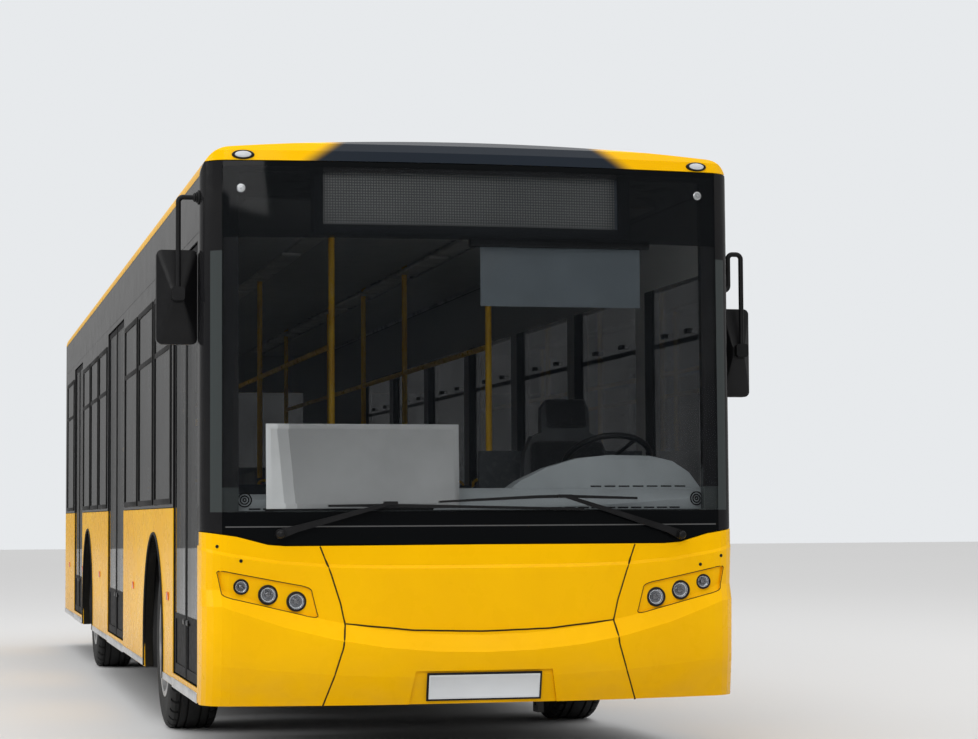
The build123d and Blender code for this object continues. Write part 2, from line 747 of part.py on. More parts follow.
def rim_ring(centre_x):
    """Steel rim with flanges, well, disc and hub."""
    half = TYRE_WIDTH / 2 * 0.86
    wall = RIM_WALL
    outer = [
        (-half - 14, RIM_SEAT_R + 18),
        (-half - 1, RIM_SEAT_R + 18),
        (-half - 1, RIM_SEAT_R),
        (-half * 0.4, RIM_SEAT_R),
        (-half * 0.25, RIM_WELL_R),
        (half * 0.25, RIM_WELL_R),
        (half * 0.4, RIM_SEAT_R),
        (half + 1, RIM_SEAT_R),
        (half + 1, RIM_SEAT_R + 18),
        (half + 14, RIM_SEAT_R + 18),
        (half + 14, RIM_SEAT_R - wall),
        (half * 0.5, RIM_SEAT_R - wall),
        (half * 0.3, RIM_WELL_R - wall),
        (-half * 0.3, RIM_WELL_R - wall),
        (-half * 0.5, RIM_SEAT_R - wall),
        (-half - 14, RIM_SEAT_R - wall),
    ]
    with BuildPart() as ring:
        with BuildSketch(Plane.XY):
            with BuildLine():
                Polyline(*outer, close=True)
            make_face()
        revolve(axis=Axis.X)
    return Pos(centre_x, 0, 0) * ring.part


DISC_THICK = 14


def wheel_disc(rim_x, flange_x, hub_out):
    """Dished disc from the rim's well to the bolting face, and the hub that stands out of it."""
    outline = [
        (flange_x, HUB_BORE),
        (flange_x + hub_out * DISC_THICK, HUB_BORE),
        (flange_x + hub_out * DISC_THICK, DISC_R),
        (rim_x + hub_out * DISC_THICK, RIM_WELL_R - RIM_WALL + 2),
        (rim_x, RIM_WELL_R - RIM_WALL + 2),
        (flange_x, DISC_R),
    ]
    with BuildPart() as disc:
        with BuildSketch(Plane.XY):
            with BuildLine():
                Polyline(*outline, close=True)
            make_face()
        revolve(axis=Axis.X)
    return disc.part


def hand_holes(body):
    """Hand holes round the dished part of the disc."""
    count = 8
    for step in range(count):
        turn = 2 * math.pi * step / count
        r = (DISC_R + RIM_WELL_R) / 2 - 6
        y = r * math.cos(turn)
        z = r * math.sin(turn)
        body = body - rod((-160, y, z), (160, y, z), 20)
    return body


FLANGE_OUT = 80
SPINDLE_R = 38
HUB_R = 92
HUB_PROUD = 45
TWIN_HUB_R = 120
TWIN_HUB_OUT = 40
BEARING_GAP = 0.2


def wheel_pair(name, side, y, twins):
    """Write the tyre and rim nodes of one wheel."""
    place = Pos(side * WHEEL_X, y, TYRE_R)
    tyres = [tyre_ring(0)]
    if twins:
        meet = -TWIN_SPACING / 2
        tyres.append(tyre_ring(-TWIN_SPACING))
        rim = rim_ring(0) + hand_holes(wheel_disc(0, meet, 1))
        rim = rim + rim_ring(-TWIN_SPACING) + wheel_disc(-TWIN_SPACING, meet - DISC_THICK, 1)
        rim = rim + rod((meet - DISC_THICK - 30, 0, 0), (TWIN_HUB_OUT, 0, 0), TWIN_HUB_R)
        rim = rim - rod((-TWIN_SPACING, 0, 0), (TWIN_HUB_OUT - 20, 0, 0), SPINDLE_R + BEARING_GAP)
    else:
        rim = rim_ring(0) + hand_holes(wheel_disc(0, FLANGE_OUT, 1))
        hub = rod((0, 0, 0), (FLANGE_OUT + HUB_PROUD, 0, 0), HUB_R)
        rim = rim + hub - rod((-10, 0, 0), (FLANGE_OUT, 0, 0), SPINDLE_R + BEARING_GAP)
    if side < 0:
        tyres = [mirrored(tyre) for tyre in tyres]
        rim = mirrored(rim)
    save("tyre_" + name, [place * tyre for tyre in tyres])
    save("rim_" + name, place * rim)


KINGPIN_R = 24
EYE_R = 42
EYE_HALF = 45
EAR_THICK = 26
EAR_GAP = 5
DRUM_R = 200
BEAM_DROP_X = 600
BEAM_TOP = 290
BEAM_DEPTH = 90
BEAM_HALF = 42


def knuckle(side):
    """Steering knuckle: kingpin between two ears, backing plate, brake drum and spindle."""
    z = TYRE_R
    y = FRONT_AXLE_Y
    ear_top = z + EYE_HALF + EAR_GAP + EAR_THICK
    pin = rod((KINGPIN_X, y, 2 * z - ear_top), (KINGPIN_X, y, ear_top), KINGPIN_R)
    body = pin
    face_x = KINGPIN_X + EYE_R + 10
    for low in (z + EYE_HALF + EAR_GAP, 2 * z - ear_top):
        plate = span_box(KINGPIN_X, face_x, y - 30, y + 30, low, low + EAR_THICK)
        boss = rod((KINGPIN_X, y, low), (KINGPIN_X, y, low + EAR_THICK), 32)
        body = body + plate + boss
    flange = span_box(face_x - 2, face_x + 24, y - 55, y + 55, 2 * z - ear_top, ear_top)
    drum = rod((face_x + 20, y, z), (WHEEL_X - 18, y, z), DRUM_R)
    spindle = rod((face_x + 10, y, z), (WHEEL_X + FLANGE_OUT - 6, y, z), SPINDLE_R)
    body = body + flange + drum + spindle
    return body if side > 0 else mirrored(body)


SPRING_X = 420
SPRING_R = 85
SPRING_ARM = 300
ARM_WIDE = 70
ARM_DEEP = 40


def air_springs(y, z):
    """Arms along the bus from an axle beam, each with an air spring under the floor."""
    parts = []
    for side in (-1, 1):
        x = side * SPRING_X
        parts.append(span_box(x - ARM_WIDE / 2, x + ARM_WIDE / 2, y - SPRING_ARM, y + SPRING_ARM,
                              z - ARM_DEEP, z))
        for end in (-1, 1):
            foot = (x, y + end * (SPRING_ARM - SPRING_R / 2), z - ARM_DEEP / 2)
            parts.append(rod(foot, (foot[0], foot[1], FLOOR_TOP - FLOOR_THICK - SEAT_GAP), SPRING_R))
    whole = parts[0]
    for piece in parts[1:]:
        whole = whole + piece
    return whole


def build_axles():
    """Dropped front beam, portal rear axle, knuckles and all wheels."""
    y = FRONT_AXLE_Y
    z = TYRE_R
    eye = rod((KINGPIN_X, y, z - EYE_HALF), (KINGPIN_X, y, z + EYE_HALF), EYE_R)
    half_beam = [
        (0, BEAM_TOP - BEAM_DEPTH), (BEAM_DROP_X + 50, BEAM_TOP - BEAM_DEPTH),
        (KINGPIN_X - 60, z - EYE_HALF), (KINGPIN_X, z - EYE_HALF + 5), (KINGPIN_X, z + EYE_HALF - 5),
        (KINGPIN_X - 70, z + EYE_HALF - 5), (BEAM_DROP_X + 20, BEAM_TOP), (0, BEAM_TOP),
    ]
    arm = prism(half_beam, Plane.XZ.offset(-y), BEAM_HALF - 14)
    hole = rod((KINGPIN_X, y, 0), (KINGPIN_X, y, 2 * z), KINGPIN_R + PIVOT_CLEAR)
    half = (arm + eye) - hole
    save("front_axle", half + mirrored(half) + air_springs(y, BEAM_TOP - BEAM_DEPTH / 2))
    save("knuckle_left", knuckle(1))
    save("knuckle_right", knuckle(-1))

    y = REAR_AXLE_Y
    inner_face = WHEEL_X - TWIN_SPACING - TYRE_WIDTH / 2
    beam = rod((60 - inner_face, y, 245), (inner_face - 60, y, 245), 55)
    case = rod((210, y, 222), (390, y, 222), 78) + rod((300, y - 240, 222), (300, y, 222), 60)
    axle = beam + case
    for side in (-1, 1):
        leg = span_box(side * (inner_face - 80), side * (inner_face - 18), y - 80, y + 80, 180, z + 80)
        stub = rod((side * (inner_face - 40), y, z), (side * (WHEEL_X - TWIN_SPACING + 15), y, z), 150)
        spindle = rod((side * (inner_face - 20), y, z), (side * (WHEEL_X + TWIN_HUB_OUT - 26), y, z), SPINDLE_R)
        axle = axle + leg + stub + spindle
    save("rear_axle", axle + air_springs(y, 245))
    wheel_pair("front_left", 1, FRONT_AXLE_Y, False)
    wheel_pair("front_right", -1, FRONT_AXLE_Y, False)
    wheel_pair("rear_left", 1, REAR_AXLE_Y, True)
    wheel_pair("rear_right", -1, REAR_AXLE_Y, True)


LEAF_X = -(HALF_W - LEAF_RECESS)
LINE_X = LEAF_X + LINE_OFFSET
RAIL_LOW = LEAF_TOP + ARM_GAP + ARM_THICK + ARM_GAP
RAIL_TALL = 34
RAIL_HALF = 26
SPIGOT = 12
BRACKET = 16


def door_places(y0, y1, towards):
    """Y of jamb, post, leaf pivot, guide roller and meeting edge for one leaf."""
    half = (y1 - y0) / 2
    jamb = y0 if towards > 0 else y1
    arm = (half - LEAF_MEETING_GAP / 2 + POST_INSET - GUIDE_REACH) / 2
    post = jamb - towards * POST_INSET
    return jamb, post, post + towards * arm, post + towards * 2 * arm, jamb + towards * half


def build_leaf(name, y0, y1, towards):
    """One leaf with its glass, and the post that swings it."""
    jamb, post_y, pivot_y, guide_y, meet_y = door_places(y0, y1, towards)
    edge0 = jamb + towards * LEAF_JAMB_GAP
    edge1 = meet_y - towards * LEAF_MEETING_GAP / 2
    face = LEAF_X
    back = LEAF_X + LEAF_THICK
    leaf = span_box(face, back, edge0, edge1, LEAF_BOTTOM, LEAF_TOP)
    g0 = edge0 + towards * LEAF_STILE
    g1 = edge1 - towards * LEAF_STILE
    top = LEAF_TOP - LEAF_STILE
    lap = 12
    leaf = leaf - span_box(face - 5, back + 5, g0, g1, KICK_TOP, top)
    leaf = leaf - span_box(face - 5, face + GLASS + SEAT_GAP, g0 - towards * lap, g1 + towards * lap,
                           KICK_TOP - lap, top + lap)
    panel = span_box(face - 5, face + 6, g0, g1, LEAF_BOTTOM + LEAF_STILE, KICK_TOP - 40)
    leaf = leaf - panel
    glass = span_box(face, face + GLASS, g0 - towards * (lap - 2), g1 + towards * (lap - 2),
                     KICK_TOP - lap + 2, top + lap - 2)
    low_arm = LEAF_BOTTOM - ARM_GAP - ARM_THICK
    high_arm = LEAF_TOP + ARM_GAP
    for place, top_end in ((pivot_y, high_arm + ARM_THICK), (guide_y, RAIL_LOW + 20)):
        bracket = span_box(back - 2, LINE_X + 14, place - 14, place + 14, LEAF_TOP - BRACKET, LEAF_TOP)
        leaf = leaf + bracket + rod((LINE_X, place, LEAF_TOP - 2), (LINE_X, place, top_end), PIVOT_R)
    roller = rod((LINE_X, guide_y, RAIL_LOW + 4), (LINE_X, guide_y, RAIL_LOW + 20), ROLLER_R)
    foot = span_box(back - 2, LINE_X + 14, pivot_y - 14, pivot_y + 14, LEAF_BOTTOM, LEAF_BOTTOM + BRACKET)
    foot_pin = rod((LINE_X, pivot_y, low_arm), (LINE_X, pivot_y, LEAF_BOTTOM + 2), PIVOT_R)
    leaf = leaf + roller + foot + foot_pin

    post = rod((LINE_X, post_y, FLOOR_TOP + SEAT_GAP), (LINE_X, post_y, RAIL_LOW - SEAT_GAP), POST_R)
    post = post + rod((LINE_X, post_y, RAIL_LOW - 2), (LINE_X, post_y, RAIL_LOW + SPIGOT), PIVOT_R)
    for low in (low_arm, high_arm):
        bar = span_box(LINE_X - ARM_HALF, LINE_X + ARM_HALF, post_y, pivot_y, low, low + ARM_THICK)
        eye = rod((LINE_X, pivot_y, low), (LINE_X, pivot_y, low + ARM_THICK), ARM_HALF + 4)
        bore = rod((LINE_X, pivot_y, low - 5), (LINE_X, pivot_y, low + ARM_THICK + 5), PIVOT_R + PIVOT_CLEAR)
        post = post + bar + eye - bore
    save("door_" + name + "_leaf", leaf)
    save("door_" + name + "_glass", glass)
    save("door_" + name + "_post", post)


def build_doors():
    """Six leaves on their posts, and the rails that guide their rollers."""
    rails = []
    for name, start, end in DOORS:
        y0 = behind_front(start)
        y1 = behind_front(end)
        rail = span_box(-INNER_W + SEAT_GAP, LINE_X + RAIL_HALF, y0 - POST_INSET - 40, y1 + POST_INSET + 40,
                        RAIL_LOW, RAIL_LOW + RAIL_TALL)
        slot = span_box(LINE_X - ROLLER_R - ROLLER_CLEAR, LINE_X + ROLLER_R + ROLLER_CLEAR,
                        y0 + 30, y1 - 30, RAIL_LOW - 1, RAIL_LOW + 26)
        rail = rail - slot
        for side, towards in (("fore", 1), ("aft", -1)):
            jamb, post_y, pivot_y, guide_y, meet_y = door_places(y0, y1, towards)
            rail = rail - rod((LINE_X, post_y, RAIL_LOW - 1), (LINE_X, post_y, RAIL_LOW + SPIGOT + 2),
                              PIVOT_R + PIVOT_CLEAR)
            build_leaf(name + "_" + side, y0, y1, towards)
        rails.append(rail)
    save("door_rails", rails)


# Engine in the rear corner: nearest and furthest x, place of its rear face, top
ENGINE_X = (330, 1190)
ENGINE_REAR = LENGTH - 130
ENGINE_TOP = 1500
TOWER_WALL = 20
TOWER_GAP = 15
TOWER_RISE = 60


def build_engine():
    """Engine as one plain block in the rear corner."""
    x0, x1 = ENGINE_X
    save("engine_block", span_box(x0, x1, behind_front(ENGINE_FRONT), behind_front(ENGINE_REAR),
                                  FLOOR_TOP + SEAT_GAP, ENGINE_TOP))


def engine_tower():
    """Lined box that closes the engine off from the saloon."""
    x0 = ENGINE_X[0] - TOWER_GAP
    y0 = behind_front(ENGINE_FRONT) - TOWER_GAP
    top = ENGINE_TOP + TOWER_RISE
    outer = span_box(x0 - TOWER_WALL, INNER_W - SEAT_GAP, y0 - TOWER_WALL, HALF_L - WALL - SEAT_GAP,
                     FLOOR_TOP + SEAT_GAP, top)
    hollow = span_box(x0, INNER_W, y0, HALF_L, FLOOR_TOP - 1, top - TOWER_WALL)
    return outer - hollow


# Seats
ROW_START = FRONT_OVERHANG + 1050
ROW_PITCH = 750
ROW_END = REAR_AXLE - 1000
SEAT_WIDTH = 410
SEAT_DEPTH = 410
SEAT_Z = 800
BACK_HIGH = 560
SEAT_PITCH = 425
SEAT_WALL_GAP = 20


def seat_rows():
    """Rows of two seats. Columns: side, place of the cushion's middle behind the front."""
    rows = []
    for step in range(int((ROW_END - ROW_START) / ROW_PITCH) + 1):
        rows.append((1, ROW_START + step * ROW_PITCH))
    rows.append((1, REAR_AXLE + 1250))
    rows.append((-1, ROW_START))
    rows.append((-1, REAR_AXLE - 1450))
    rows.append((-1, REAR_AXLE + 2550))
    return rows


# Seat shell from the side, as (distance behind the cushion's middle, height above the cushion)
SEAT_SHELL = [(-200, -28), (-182, 0), (120, -14), (178, 12), (255, BACK_HIGH - 20), (272, BACK_HIGH),
              (292, BACK_HIGH), (302, BACK_HIGH - 25), (222, -8), (186, -58), (-190, -62)]
SHELL_UNDER = 62
SHELL_SHOULDER = 70
# Seat foot from the side, as (distance behind the cushion's middle, height: 0 floor, 1 shell)
SEAT_FOOT = [(-110, 0), (120, 0), (60, 1), (-60, 1)]
FOOT_HALF = 25


def seat(x, y):
    """Moulded seat shell with round shoulders on a sheet foot."""
    side = [(y + distance, SEAT_Z + height) for distance, height in SEAT_SHELL]
    shell = prism(side, Plane.YZ.offset(x), SEAT_WIDTH / 2)
    half = SEAT_WIDTH / 2 + 1
    top = SEAT_Z + BACK_HIGH + 1
    facing = [(x - half, SEAT_Z - SHELL_UNDER - 1), (x + half, SEAT_Z - SHELL_UNDER - 1),
              (x + half, top - SHELL_SHOULDER * 2), (x + half - SHELL_SHOULDER / 3, top - SHELL_SHOULDER / 2),
              (x + half - SHELL_SHOULDER, top), (x - half + SHELL_SHOULDER, top),
              (x - half + SHELL_SHOULDER / 3, top - SHELL_SHOULDER / 2), (x - half, top - SHELL_SHOULDER * 2)]
    shell = shell & prism(facing, Plane.XZ.offset(-y), SEAT_DEPTH)
    rise = SEAT_Z - SHELL_UNDER + 5 - FLOOR_TOP - SEAT_GAP
    foot = [(y + distance, FLOOR_TOP + SEAT_GAP + share * rise) for distance, share in SEAT_FOOT]
    return shell + prism(foot, Plane.YZ.offset(x), FOOT_HALF)


def build_saloon():
    """Seats and grab poles."""
    seats = []
    for side, place in seat_rows():
        for step in range(2):
            x = side * (INNER_W - SEAT_WALL_GAP - SEAT_WIDTH / 2 - step * SEAT_PITCH)
            seats.append(seat(x, behind_front(place)))
    save("seats", seats)

    poles = []
    for x, place in pole_places():
        poles.append(rod((x, behind_front(place), FLOOR_TOP + SEAT_GAP), (x, behind_front(place), ceiling_at(x)),
                         POLE_R))
    save("grab_poles", poles, hand_rails())


# Floor-to-ceiling poles
POLE_R = 17
POLE_X = 420
RAIL_Z = 2060
RAIL_R = 15


def pole_places():
    """Poles beside each door and between rows of seats. Columns: x, place behind the front."""
    front, middle, rear = DOORS
    places = [(-POLE_X, front[2] + 215), (POLE_X, front[2] + 165)]
    for name, start, end in (middle, rear):
        places.append((-POLE_X, start - 190))
        places.append((-POLE_X, end + 200))
    for step in (0, 2, 4):
        places.append((POLE_X, ROW_START + (step + 0.5) * ROW_PITCH))
    places.append((POLE_X, rear[1] + 100))
    return places


def hand_rails():
    """Rails at head height from pole to pole, their ends cut to the poles."""
    rails = []
    for side in (-1, 1):
        stops = sorted(place for x, place in pole_places() if x * side > 0)
        for start, end in zip(stops, stops[1:]):
            x = side * POLE_X
            rail = rod((x, behind_front(start), RAIL_Z), (x, behind_front(end), RAIL_Z), RAIL_R)
            for place in (start, end):
                y = behind_front(place)
                rail = rail - rod((x, y, RAIL_Z - 50), (x, y, RAIL_Z + 50), POLE_R + SEAT_GAP)
            rails.append(rail)
    return rails


def ceiling_at(x):
    """Height of the roof's inner face."""
    centre_x = HALF_W - ROOF_CORNER
    rise = ROOF_TOP - ROOF_CORNER - ROOF_SPRING
    drop = (centre_x ** 2 - rise ** 2) / (2 * rise)
    crown_r = drop + rise + ROOF_CORNER
    inner_r = crown_r - WALL
    edge = abs(x) + POLE_R
    return ROOF_SPRING - drop + math.sqrt(inner_r ** 2 - edge ** 2) - SEAT_GAP


# Driver's place
DASH_DEPTH = 415
DASH_SIDES = (-1150, 1180)
DOOR_WELL = (-560, 290)
STEER_CENTRE = (760, 640, 1420)
STEER_R = 215
STEER_TUBE = 15
STEER_TILT = 35
STEER_HUB_R = 45
STEER_HUB_DEPTH = 60
SPOKE_R = 10
SPOKES = 3
COLUMN_R = 38
COLUMN_LENGTH = 300
DRIVER_Y = 1150
PODIUM_TOP = 600
PODIUM_FRONT = 430
PODIUM_X = 330
DRIVER_CUSHION_TOP = 1000
PARTITION_Y = 1600
PARTITION_TOP = 1500
PARTITION_THICK = 30
# Dashboard and the cowl of its dials from the side, as (distance behind the front, height)
DASH_PROFILE = [(135, 1175), (158, 1192), (325, 1280), (350, 1288), (DASH_DEPTH, 1270), (DASH_DEPTH, 900),
                (300, 860), (150, 860)]
COWL_SIDE = [(330, 1180), (334, 1290), (362, 1425), (385, 1448), (432, 1436), (500, 1262), (520, 1200),
             (520, 950), (330, 950)]
# The cowl from the front, as (x, z): a low hill round the steering wheel
COWL_HILL = [(170, 950), (170, 1262), (250, 1322), (380, 1384), (540, 1430), (700, 1446), (900, 1442),
             (1010, 1416), (1090, 1362), (1140, 1290), (1150, 1240), (1150, 950)]
# Driver's seat from the side, as (distance behind the cushion's middle, height above the cushion)
DRIVER_SHELL = [(-235, -35), (-215, -3), (150, -18), (212, 12), (255, 300), (280, 560), (284, 640), (300, 760),
                (350, 760), (366, 640), (352, 300), (318, 0), (285, -95), (-225, -105)]
# Driver's seat from the front, as (half width, height above the cushion)
DRIVER_FACING = [(236, -106), (236, 300), (222, 480), (180, 572), (128, 590), (128, 720), (96, 762)]
# Seat base in steps. Columns: half width, lowest and highest share of its height
BASE_STEPS = [(190, 0, 0.16), (120, 0.1, 0.3), (150, 0.24, 0.5), (120, 0.45, 0.6), (150, 0.55, 0.8), (185, 0.78, 1)]


def build_driver():
    """Dashboard, steering wheel, driver's seat and partition."""
    x0, x1 = DASH_SIDES
    side = [(behind_front(distance), z) for distance, z in DASH_PROFILE]
    dash = prism(side, Plane.YZ.offset((x0 + x1) / 2), (x1 - x0) / 2)
    side = [(behind_front(distance), z) for distance, z in COWL_SIDE]
    shelf = dash + (prism(side, Plane.YZ, HALF_W) & front_prism(COWL_HILL))
    well_x, well_y = DOOR_WELL
    shelf = shelf - span_box(-HALF_W, well_x, behind_front(well_y), 0, 0, ROOF_TOP)
    inside = front_block(INSIDE_LEVELS, APRON_BACK + SEAT_GAP, FRONT_END)
    behind = span_box(-INNER_W, INNER_W, behind_front(FRONT_END) - 1, 0, 0, ROOF_TOP)
    shelf = shelf & (inside + behind)

    cx, d, cz = STEER_CENTRE
    cy = behind_front(d)
    tilt = math.radians(STEER_TILT)
    axis = Vector(0, math.sin(tilt), math.cos(tilt))
    plane = Plane(origin=(cx, cy, cz), z_dir=axis)

    def down(distance):
        return (cx, cy - distance * axis.Y, cz - distance * axis.Z)

    wheel = plane.location * Torus(STEER_R, STEER_TUBE) + rod(down(STEER_HUB_DEPTH), down(-5), STEER_HUB_R)
    for step in range(SPOKES):
        turn = math.radians(90 + 360 * step / SPOKES)
        end = plane.from_local_coords(Vector(STEER_R * math.cos(turn), STEER_R * math.sin(turn), 0))
        wheel = wheel + rod(down(5), (end.X, end.Y, end.Z), SPOKE_R)
    save("steering_wheel", wheel)
    column = rod(down(STEER_HUB_DEPTH + SEAT_GAP), down(COLUMN_LENGTH), COLUMN_R)
    save("dashboard", shelf + column)

    seat_y = behind_front(DRIVER_Y)
    side = [(seat_y + distance, DRIVER_CUSHION_TOP + height) for distance, height in DRIVER_SHELL]
    right = [(cx + half, DRIVER_CUSHION_TOP + height) for half, height in DRIVER_FACING]
    left = [(cx - half, DRIVER_CUSHION_TOP + height) for half, height in reversed(DRIVER_FACING)]
    seat_half = DRIVER_FACING[0][0] + 5
    shell = prism(side, Plane.YZ.offset(cx), seat_half) & prism(right + left, Plane.XZ.offset(-seat_y), REACH)
    foot = PODIUM_TOP + SEAT_GAP
    rise = DRIVER_CUSHION_TOP - 100 - foot
    for half, low, high in BASE_STEPS:
        shell = shell + span_box(cx - half, cx + half, seat_y - half, seat_y + half, foot + low * rise, foot + high * rise)
    save("driver_seat", shell)

    y = behind_front(PARTITION_Y)
    save("driver_partition", span_box(PODIUM_X, INNER_W - SEAT_GAP, y, y + PARTITION_THICK,
                                      FLOOR_TOP + SEAT_GAP, PARTITION_TOP))

    half, depth, back, low = DISPLAY
    display = span_box(-half, half, behind_front(depth), behind_front(back), low, SCREEN_TOP - 5)
    display = display & front_block(SCREEN_LEVELS, FRAME_DEPTH + SEAT_GAP, FRONT_END)
    save("destination_display", display)


# Destination display: half width, nearest and furthest depth, lowest
DISPLAY = (760, 100, 290, 2470)


def driver_podium():
    """Raised floor below the driver's seat."""
    return span_box(PODIUM_X, INNER_W - SEAT_GAP, behind_front(PODIUM_FRONT), behind_front(PARTITION_Y) - SEAT_GAP,
                    FLOOR_TOP + SEAT_GAP, PODIUM_TOP)


# Wipers as seen from the front, as (x, z). Columns: arm from its pivot to its clip, blade
WIPERS = [
    ([(-928, 1079), (-850, 1104), (-427, 1217)], [(-709, 1206), (-427, 1207), (494, 1186)]),
    ([(975, 1063), (905, 1090), (398, 1246)], [(-200, 1222), (250, 1243), (398, 1246), (759, 1236)]),
]
WIPER_PIVOT_R = 22
WIPER_ARM = (46, 32, 16)
WIPER_BLADE = (10, 15, 11)
# Distances out from the glass: inner and outer face of blade, arm and pivot cap
BLADE_STAND = (SEAT_GAP, 22)
ARM_STAND = (26, 40)
CAP_STAND = (SEAT_GAP, 50)


def strip(points, widths):
    """Outline of a band along points, as (x, z), each with its own width."""
    upper = [(x, z + width / 2) for (x, z), width in zip(points, widths)]
    lower = [(x, z - width / 2) for (x, z), width in zip(points, widths)]
    return upper + lower[::-1]


def on_glass(outline, stand):
    """Piece that follows the windscreen at a distance, cut to an outline seen from the front."""
    inner, outer = stand
    return front_skin(SCREEN_LEVELS, -outer, -inner, FRONT_END) & front_prism(outline)


def build_wipers():
    """Two wipers parked along the foot of the windscreen."""
    wipers = []
    thick, middle, thin = WIPER_ARM
    end, body, tip = WIPER_BLADE
    for arm, blade in WIPERS:
        (x, z), clip = arm[0], arm[-1]
        cap = rod((x, FRONT_Y - REACH, z), (x, behind_front(FRONT_END), z), WIPER_PIVOT_R)
        cap = cap & front_skin(SCREEN_LEVELS, -CAP_STAND[1], -CAP_STAND[0], FRONT_END)
        widths = [end] + [body] * (len(blade) - 2) + [tip]
        wiper = cap + on_glass(strip(arm, [thick, middle, thin]), ARM_STAND)
        wiper = wiper + on_glass(strip(blade, widths), BLADE_STAND)
        width = 2 * thin
        hold = [(clip[0] - width, clip[1]), (clip[0] + width, clip[1])]
        wiper = wiper + on_glass(strip(hold, [thin, thin]), (BLADE_STAND[1] - 8, ARM_STAND[1]))
        wipers.append(wiper)
    save("wipers", wipers)


# Mirrors
HEAD_RIM = 42
HEAD_SLOPE = 46
HEAD_CORNER = 26
CLAMP = (60, 34, 64)
# Columns: side, arm's place behind the front, head's middle x and z, width, height, clamp's height
MIRRORS = [
    (-1, 340, 1372, 2180, 190, 440, 2190),
    (1, 440, 1386, 1952, 136, 434, 1960),
]
MIRROR_ARM_R = 12
MIRROR_BEND = 24
# Arms as (x, z) from the body to the clamp
MIRROR_ARMS = {
    -1: [(HALF_W + SEAT_GAP, 2640), (1372, 2640), (1372, 2190)],
    1: [(HALF_W + SEAT_GAP, 2254), (1330, 2254), (1330, 2433), (1396, 2433), (1396, 1960)],
}


def tube_path(points, radius, bend):
    """Bent tube through points, with equal bends."""
    with BuildPart() as tube:
        with BuildLine() as line:
            FilletPolyline(*points, radius=bend)
        with BuildSketch(Plane(origin=line.line @ 0, z_dir=line.line % 0)):
            Circle(radius)
        sweep()
    return tube.part


def mirror_head(x, y, z, width, height):
    """Head with a rim round its glass and a back that slopes from the corners to the clamp."""
    with BuildPart() as head:
        with BuildSketch(Plane.XZ.offset(-y)):
            with Locations((x, z)):
                RectangleRounded(width, height, HEAD_CORNER)
        extrude(amount=-HEAD_RIM)
        with BuildSketch(Plane.XZ.offset(-y)):
            with Locations((x, z)):
                RectangleRounded(width, height, HEAD_CORNER)
        with BuildSketch(Plane.XZ.offset(-y + HEAD_SLOPE)):
            with Locations((x, z)):
                RectangleRounded(CLAMP[0], CLAMP[2], CLAMP[0] / 4)
        loft()
        with BuildSketch(Plane.XZ.offset(-y - HEAD_RIM)):
            with Locations((x, z)):
                RectangleRounded(width - 16, height - 16, HEAD_CORNER - 8)
        extrude(amount=10, mode=Mode.SUBTRACT)
    return head.part


def build_mirrors():
    """Mirror on each side, with its arm and clamp."""
    heads = []
    for side, place, x, z, width, height, clamp_z in MIRRORS:
        y = behind_front(place)
        wide, deep, tall = CLAMP
        arm_x = MIRROR_ARMS[side][-1][0]
        arm = tube_path([(side * ax, y, az) for ax, az in MIRROR_ARMS[side]], MIRROR_ARM_R, MIRROR_BEND)
        clamp = span_box(side * arm_x - wide / 2, side * arm_x + wide / 2, y - deep / 2, y + deep / 2,
                         clamp_z - tall / 2, clamp_z + tall / 2)
        clamp = fillet(clamp.edges().filter_by(Axis.Y), wide / 4)
        head = mirror_head(side * x, y + deep / 2 - 2 + HEAD_SLOPE, z, width, height)
        heads.append(arm + clamp + head)
    save("mirrors", heads)


build_mask()
build_front()
build_shell()
build_floor()
build_axles()
build_doors()
build_engine()
build_saloon()
build_driver()
build_wipers()
build_mirrors()
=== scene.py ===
import bmesh
import bpy
import math
from mathutils import Matrix, Vector


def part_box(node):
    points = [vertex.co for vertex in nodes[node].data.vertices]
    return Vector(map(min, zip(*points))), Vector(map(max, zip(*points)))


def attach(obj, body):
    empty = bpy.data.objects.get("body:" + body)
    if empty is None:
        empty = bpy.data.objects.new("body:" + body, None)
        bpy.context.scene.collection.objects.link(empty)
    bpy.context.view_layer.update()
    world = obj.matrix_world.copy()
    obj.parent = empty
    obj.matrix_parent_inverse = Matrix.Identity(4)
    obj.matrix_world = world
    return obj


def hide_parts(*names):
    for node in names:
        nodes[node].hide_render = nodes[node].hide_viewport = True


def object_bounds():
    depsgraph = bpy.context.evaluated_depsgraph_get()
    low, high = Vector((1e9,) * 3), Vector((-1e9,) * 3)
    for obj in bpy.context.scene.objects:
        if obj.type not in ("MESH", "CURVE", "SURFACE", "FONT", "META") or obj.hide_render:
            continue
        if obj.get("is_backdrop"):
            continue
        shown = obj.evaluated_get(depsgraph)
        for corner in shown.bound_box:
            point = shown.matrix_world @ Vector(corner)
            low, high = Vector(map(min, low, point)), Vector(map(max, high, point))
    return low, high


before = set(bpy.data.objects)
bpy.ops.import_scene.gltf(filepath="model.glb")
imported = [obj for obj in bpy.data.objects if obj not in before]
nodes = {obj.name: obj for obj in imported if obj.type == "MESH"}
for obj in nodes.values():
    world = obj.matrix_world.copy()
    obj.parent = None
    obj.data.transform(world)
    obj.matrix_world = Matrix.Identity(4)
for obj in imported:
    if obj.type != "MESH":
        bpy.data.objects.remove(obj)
cad_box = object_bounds()

